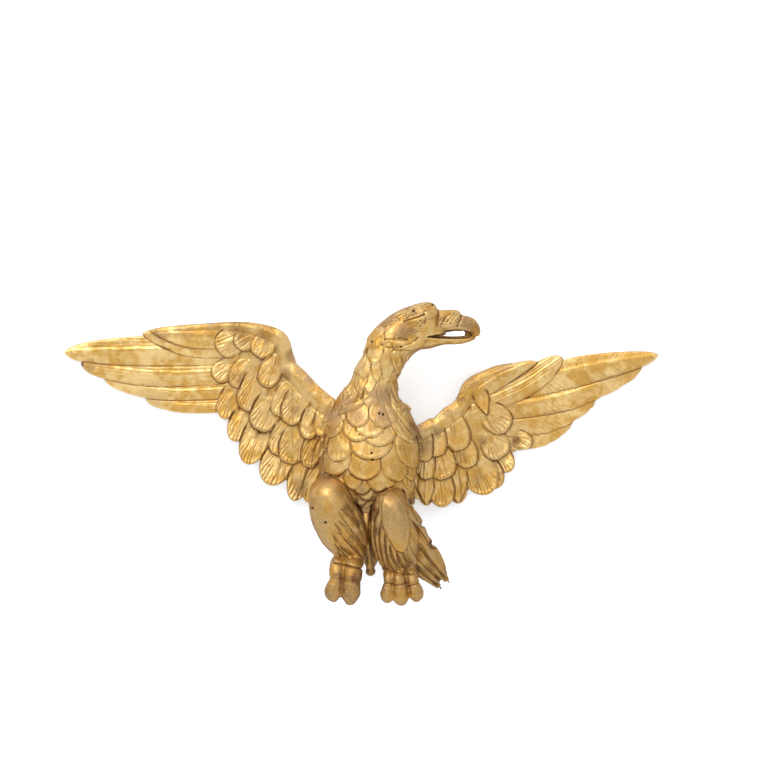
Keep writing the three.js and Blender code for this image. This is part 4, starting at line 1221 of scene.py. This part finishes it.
def gilding_group():
    """Aged gold leaf over bole and gesso, brown with glaze and painted shade in the grooves, paler on the ridges
    with a painted highlight, rubbed there and bare behind.
    """
    name = "Aged gilding"
    if name in bpy.data.node_groups:
        return bpy.data.node_groups[name]
    tree = bpy.data.node_groups.new(name, "ShaderNodeTree")
    for label, kind in GILDING_INPUTS:
        tree.interface.new_socket(label, in_out="INPUT", socket_type=kind)
    for label, kind in GILDING_OUTPUTS:
        tree.interface.new_socket(label, in_out="OUTPUT", socket_type=kind)
    n = Nodes(tree)
    given = n.add("NodeGroupInput").outputs
    place = n.add("ShaderNodeTexCoord").outputs["Object"]
    broad, middle, small, fine = (
        n.noise(place, scale, detail) for scale, detail in ((22, 3), (110, 4), (270, 3), (600, 3))
    )
    crease, ridge, tone, thin, bare, hole, barb_depth, pricked = (
        n.attribute(label) for label in ("crease", "ridge", "tone", "thin", "bare", "hole", "barb_depth",
            "pricked")
    )

    # The carver's strokes run between feather barbs; each is cut as deep as its number says.
    turns = n.maths("DIVIDE", n.attribute("barb_phase"), 2 * math.pi)
    number = n.maths("ROUND", turns)
    chance = n.add("ShaderNodeTexWhiteNoise", {"W": number}, noise_dimensions="1D").outputs["Value"]
    stroke = n.range(n.maths("PINGPONG", turns, 0.5), 0.27, 0.0)
    stroke = n.maths("MULTIPLY", n.maths("MULTIPLY", stroke, barb_depth),
        n.maths("MULTIPLY_ADD", chance, 0.75, 0.25))

    # Gold leaf, cleaner in some places than in others, and paler on ridges: burnished rubbed edges and a painted
    # highlight.
    leaf = n.blend(n.range(n.maths("ADD", n.maths("MULTIPLY", broad, 0.5),
        n.maths("MULTIPLY", middle, 0.5)), 0.4, 0.6),
                   given["Leaf"], given["Pale Leaf"])
    leaf = n.blend(n.maths("MULTIPLY", ridge, 0.7), leaf, given["Pale Leaf"])

    # Brown glaze in patches, with painted shade in hollows, on side walls and in every cut.
    mixed = n.maths("ADD", n.maths("MULTIPLY", broad, 0.45), n.maths("MULTIPLY", middle, 0.4))
    mottle = n.range(n.maths("MULTIPLY_ADD", fine, 0.2, mixed), 0.4, 0.68)
    patches = n.maths("MULTIPLY", mottle, n.maths("MULTIPLY_ADD", tone, 0.7, 0.1))
    patches = n.maths("MULTIPLY_ADD", tone, 0.45, patches)
    line = n.maths("MULTIPLY", n.range(crease, 0.05, 0.75), n.range(middle, 0.3, 0.6, 0.8, 1.0))
    flattened = n.add("ShaderNodeMapping", {"Vector": place, "Scale": (1.0, 0.1, 1.0)}).outputs[0]
    dots = n.add("ShaderNodeTexVoronoi", {"Vector": flattened, "Scale": 420.0}).outputs["Distance"]
    dots = n.maths("MULTIPLY", n.range(dots, 0.5, 0.2), pricked)
    cuts = n.maths("MAXIMUM", line, n.maths("MULTIPLY", stroke, 0.8))
    cuts = n.maths("MAXIMUM", cuts, n.maths("MULTIPLY", dots, 0.95))
    glaze_and_shade_share = n.maths("MULTIPLY", n.maths("MAXIMUM", patches, cuts), given["Toning Amount"], clamp=True)
    colour = n.blend(glaze_and_shade_share, leaf, given["Toning"])

    # The clay and gesso ground where the leaf is thin or an edge is rubbed through.
    rubbed = n.maths("MULTIPLY", n.maths("MULTIPLY", ridge, n.range(middle, 0.5, 0.66)), given["Wear Amount"])
    ground_share = n.maths("MULTIPLY", thin, n.range(fine, 0.3, 0.55, 0.45, 0.95))
    ground_share = n.maths("MAXIMUM", ground_share, rubbed, clamp=True)
    ground_share = n.maths("MULTIPLY", ground_share, n.maths("SUBTRACT", 1.0, cuts, clamp=True))
    colour = n.blend(ground_share, colour, given["Bole"])
    specks = n.range(n.noise(place, 700, 1.0), 0.68, 0.75)
    colour = n.blend(n.maths("MULTIPLY", specks, 0.7), colour, given["Toning"])

    grain_place = n.add("ShaderNodeMapping", {"Vector": place, "Scale": (0.12, 1.0, 1.0)}).outputs[0]
    grain = n.noise(grain_place, 260, 5.0)
    wood = n.blend(n.range(grain, 0.35, 0.65), given["Wood"], given["Toning"])
    colour = n.blend(bare, colour, wood)
    # Worm holes are painted near black as their shade.
    colour = n.blend(hole, colour, given["Hole"])

    dull = n.maths("MAXIMUM", n.maths("MAXIMUM", n.maths("MULTIPLY", glaze_and_shade_share, 0.8), ground_share), bare)
    roughness = n.maths("ADD", n.range(dull, 0.0, 1.0, 0.33, 0.58), n.maths("MULTIPLY", fine, 0.14))
    metal = n.maths("MULTIPLY", n.range(dull, 0.0, 1.0, 0.92, 0.5),
        n.maths("SUBTRACT", 1.0, bare, clamp=True))
    height = n.maths("MULTIPLY_ADD", dots, -0.5, n.maths("MULTIPLY", stroke, -0.4))
    height = n.maths("MULTIPLY_ADD", middle, 0.5, height)
    height = n.maths("MULTIPLY_ADD", small, 0.42, height)
    height = n.maths("MULTIPLY_ADD", fine, 0.36, height)
    height = n.maths("MULTIPLY_ADD", n.maths("MULTIPLY", grain, bare), 0.3, height)

    result = n.add("NodeGroupOutput").inputs
    for label, value in (("Color", colour), ("Roughness", roughness), ("Metallic", metal),
        ("Height", height)):
        n.feed(result[label], value)
    return tree


def gilded_material(name, settings, toning_amount, wear_amount):
    material = bpy.data.materials.new(name)
    material.use_nodes = True
    material.node_tree.nodes.clear()
    n = Nodes(material.node_tree)
    group = n.add("ShaderNodeGroup", node_tree=gilding_group())
    colours = {
        "Leaf": settings.leaf, "Pale Leaf": settings.pale_leaf, "Toning": settings.toning,
        "Bole": settings.bole,
        "Wood": settings.wood, "Hole": settings.hole,
    }
    for label, value in colours.items():
        group.inputs[label].default_value = (*value, 1)
    group.inputs["Toning Amount"].default_value = toning_amount
    group.inputs["Wear Amount"].default_value = wear_amount
    bump = n.add("ShaderNodeBump", {"Height": group.outputs["Height"], "Strength": 0.8, "Distance": MM})
    shader = n.add("ShaderNodeBsdfPrincipled", {
        "Base Color": group.outputs["Color"], "Roughness": group.outputs["Roughness"],
        "Metallic": group.outputs["Metallic"], "Normal": bump.outputs[0], "Specular IOR Level": 0.3,
    })
    n.add("ShaderNodeOutputMaterial", {"Surface": shader.outputs[0]})
    return material


def wall_material(settings):
    """Pale paint on the side that faces the room, and nothing at all from behind."""
    material = bpy.data.materials.new("pale_wall")
    material.use_nodes = True
    material.node_tree.nodes.clear()
    n = Nodes(material.node_tree)
    place = n.add("ShaderNodeTexCoord").outputs["Object"]
    tint = n.blend(n.range(n.noise(place, 3.0), 0.3, 0.7), (0.86, 0.89, 0.93, 1), (*settings.wall, 1))
    paint = n.add("ShaderNodeBsdfPrincipled", {"Base Color": tint, "Roughness": 0.9})
    path = n.add("ShaderNodeLightPath").outputs
    glow = n.maths("MULTIPLY", path["Is Camera Ray"], settings.wall_glow)
    lifted = n.add("ShaderNodeEmission", {"Color": (1, 1, 1, 1), "Strength": glow})
    lit = n.add("ShaderNodeAddShader", {0: paint.outputs[0], 1: lifted.outputs[0]})
    clear = n.add("ShaderNodeBsdfTransparent")
    behind = n.maths("MAXIMUM", n.add("ShaderNodeNewGeometry").outputs["Backfacing"], path["Is Shadow Ray"])
    mixed = n.add("ShaderNodeMixShader", {0: behind, 1: lit.outputs[0], 2: clear.outputs[0]})
    n.add("ShaderNodeOutputMaterial", {"Surface": mixed.outputs[0]})
    return material


# Stage


KEY_DIRECTION = (-0.32, -0.67, 0.67)  # from the carving towards the main light
KEY_DISTANCE = 3.1
FILL_PLACE, BACK_PLACE = (1.9, -2.4, 0.5), (-1.4, 2.6, 1.2)
LAMP_SIZE = 2.0
WALL_SIZE = 14
WALL_Y, FLOOR_Z = 0.002, -1.2
SENSOR_WIDTH = 36


def stage_plane(name, size, location, rotation, material):
    deselect_all()
    bpy.ops.mesh.primitive_plane_add(size=size, location=location, rotation=rotation)
    plane = bpy.context.object
    plane.name = plane.data.name = name
    plane.data.materials.append(material)


def soft_light(name, location, aim, power):
    deselect_all()
    bpy.ops.object.light_add(type="AREA", location=location)
    lamp = bpy.context.object
    lamp.name = lamp.data.name = name
    lamp.data.shape, lamp.data.size, lamp.data.energy = "DISK", LAMP_SIZE, power
    lamp.visible_camera = False
    turn_towards(lamp, aim)


def turn_towards(obj, aim):
    from_here = np.array(aim, float) - np.array(obj.location)
    across = math.hypot(from_here[0], from_here[1])
    obj.rotation_euler = (math.atan2(across, -from_here[2]), 0, math.atan2(-from_here[0], from_here[1]))


def sky(settings):
    """A pale room all round, brightest towards the main light."""
    world = bpy.data.worlds.new("pale_room")
    bpy.context.scene.world = world
    world.use_nodes = True
    world.node_tree.nodes.clear()
    n = Nodes(world.node_tree)
    direction = n.add("ShaderNodeTexCoord").outputs["Generated"]
    towards_key = n.add("ShaderNodeVectorMath", {0: direction, 1: KEY_DIRECTION}, operation="DOT_PRODUCT")
    level = n.range(towards_key.outputs["Value"], -0.4, 0.95, settings.room_low, settings.room_high)
    seen = n.add("ShaderNodeLightPath").outputs["Is Camera Ray"]
    level = n.maths("MAXIMUM", level, n.maths("MULTIPLY", seen, 0.92))
    background = n.add("ShaderNodeBackground", {"Color": (1, 1, 1, 1), "Strength": level})
    n.add("ShaderNodeOutputWorld", {"Surface": background.outputs[0]})


# Settings, operators and panel


def length(name, description, default, **limits):
    return bpy.props.FloatProperty(
        name=name, description=description, default=default, unit="LENGTH", subtype="DISTANCE", precision=5,
        **limits
    )


def colour(name, description, default):
    return bpy.props.FloatVectorProperty(
        name=name, description=description, default=default, subtype="COLOR", size=3, min=0, max=1
    )


class CarvingSettings(bpy.types.PropertyGroup):
    body_voxel: length("Body detail", "Size of the smallest facet when the body is fused", 0.00095)
    wing_voxel: length("Wing detail", "Size of the smallest facet when a wing is fused", 0.00072)
    most_triangles: bpy.props.IntProperty(
        name="Most triangles", description="The most triangles that a piece may have", default=192000,
        min=1000
    )


class GildingSettings(bpy.types.PropertyGroup):
    leaf: colour("Leaf", "Colour of the gold leaf", (0.64, 0.36, 0.085))
    # The pale leaf also serves as the painted highlight on ridges.
    pale_leaf: colour("Pale leaf", "Colour of the gold leaf where it is cleanest", (0.88, 0.62, 0.26))
    # This brown also serves as the painted shade in grooves and hollows.
    toning: colour("Toning", "Brown glaze and dirt in the cuts", (0.14, 0.045, 0.008))
    bole: colour("Bole", "Clay and gesso under the leaf, where it is thin or rubbed", (0.42, 0.26, 0.14))
    wood: colour("Wood", "Bare wood behind and in the chips", (0.30, 0.19, 0.10))
    # Worm holes are painted this near black as their shade.
    hole: colour("Hole", "Inside of a worm hole", (0.02, 0.012, 0.006))


class StudioSettings(bpy.types.PropertyGroup):
    wall: colour("Wall", "Colour of the wall and the floor", (0.87, 0.9, 0.94))
    camera_distance: length("Camera distance", "From the wall to the camera", 10.0)
    picture_width: length("Picture width", "What the picture's width takes in at the carving", 0.8448)
    picture_x: length("Picture centre X", "Where the middle of the picture lies across the wall", 0.0132)
    picture_z: length("Picture centre Z", "Where the middle of the picture lies up the wall", 0.0726)
    wall_glow: bpy.props.FloatProperty(name="Wall glow", description="What lifts the wall to white",
        default=0.42)
    key_power: bpy.props.FloatProperty(name="Key light", description="Power of the main light in watts",
        default=48)
    fill_power: bpy.props.FloatProperty(name="Fill light", description="Power of the fill light in watts",
        default=8)
    back_power: bpy.props.FloatProperty(name="Back light", description="Power of the light behind the wall",
        default=40)
    room_low: bpy.props.FloatProperty(name="Room low", description="Brightness away from the light",
        default=0.22)
    room_high: bpy.props.FloatProperty(name="Room high", description="Brightness towards the light",
        default=0.95)


class EAGLE_OT_body(bpy.types.Operator):
    """Carve and gild the body, with its head, legs and feet"""

    bl_idname = "eagle.body"
    bl_label = "Body"

    def execute(self, context):
        body = carve_body(context.scene.eagle_carving)
        material = gilded_material("gilt_body_finish", context.scene.eagle_gilding, toning_amount=0.9,
            wear_amount=0.75)
        finish_piece(body, "body", material)
        return {"FINISHED"}


class EAGLE_OT_wings(bpy.types.Operator):
    """Carve and gild the two wings"""

    bl_idname = "eagle.wings"
    bl_label = "Wings"

    def execute(self, context):
        left = Wing(-1, LEFT_EDGE, LEFT_ARM, LEFT_QUILLS, LEFT_COVERTS, LEFT_BOARD)
        right = Wing(1, RIGHT_EDGE, RIGHT_ARM, RIGHT_QUILLS, RIGHT_COVERTS, RIGHT_BOARD)
        material = gilded_material("gilt_wing_finish", context.scene.eagle_gilding, toning_amount=0.85,
            wear_amount=0.5)
        for wing, name, node in ((left, "gilt_wing_left", "wing_left"),
            (right, "gilt_wing_right", "wing_right")):
            piece = carve_wing(wing, name, context.scene.eagle_carving)
            finish_piece(piece, node, material)
        return {"FINISHED"}


class EAGLE_OT_studio(bpy.types.Operator):
    """Hang the carving on a pale wall over a pale floor, light it and set up the camera"""

    bl_idname = "eagle.studio"
    bl_label = "Studio"

    def execute(self, context):
        settings = context.scene.eagle_studio
        paint = wall_material(settings)
        quarter = math.pi / 2
        stage_plane("wall", WALL_SIZE, (0, WALL_Y, 0), (quarter, 0, 0), paint)
        stage_plane("floor", WALL_SIZE, (0, 0, FLOOR_Z), (0, 0, 0), paint)
        middle = (settings.picture_x, 0, settings.picture_z)
        key_place = [m + KEY_DISTANCE * d for m, d in zip(middle, KEY_DIRECTION)]
        soft_light("key", key_place, middle, settings.key_power)
        soft_light("fill", FILL_PLACE, middle, settings.fill_power)
        soft_light("back", BACK_PLACE, middle, settings.back_power)
        sky(settings)
        bpy.ops.object.camera_add(location=(middle[0], -settings.camera_distance, middle[2]),
            rotation=(quarter, 0, 0))
        camera = context.object
        camera.data.sensor_width = SENSOR_WIDTH
        camera.data.lens = SENSOR_WIDTH * settings.camera_distance / settings.picture_width
        camera.data.clip_end = 60
        context.scene.camera = camera
        context.scene.view_settings.view_transform = "Standard"
        return {"FINISHED"}


class EAGLE_PT_panel(bpy.types.Panel):
    """The eagle's pieces and settings in the sidebar"""

    bl_label = "Giltwood eagle"
    bl_idname = "EAGLE_PT_panel"
    bl_space_type = "VIEW_3D"
    bl_region_type = "UI"
    bl_category = "Eagle"

    def draw(self, context):
        for operator in OPERATORS:
            self.layout.operator(operator.bl_idname)
        for name, group in SETTINGS:
            box = self.layout.box()
            for field in group.__annotations__:
                box.prop(getattr(context.scene, name), field)


SETTINGS = [
    ("eagle_carving", CarvingSettings), ("eagle_gilding", GildingSettings), ("eagle_studio", StudioSettings),
]
OPERATORS = [EAGLE_OT_body, EAGLE_OT_wings, EAGLE_OT_studio]


def register():
    for name, group in SETTINGS:
        bpy.utils.register_class(group)
        setattr(bpy.types.Scene, name, bpy.props.PointerProperty(type=group))
    for kind in (*OPERATORS, EAGLE_PT_panel):
        bpy.utils.register_class(kind)


def unregister():
    for kind in (EAGLE_PT_panel, *reversed(OPERATORS)):
        bpy.utils.unregister_class(kind)
    for name, group in reversed(SETTINGS):
        delattr(bpy.types.Scene, name)
        bpy.utils.unregister_class(group)


def main():
    register()
    bpy.ops.eagle.studio()
    bpy.ops.eagle.body()
    bpy.ops.eagle.wings()


if __name__ == "__main__":
    main()
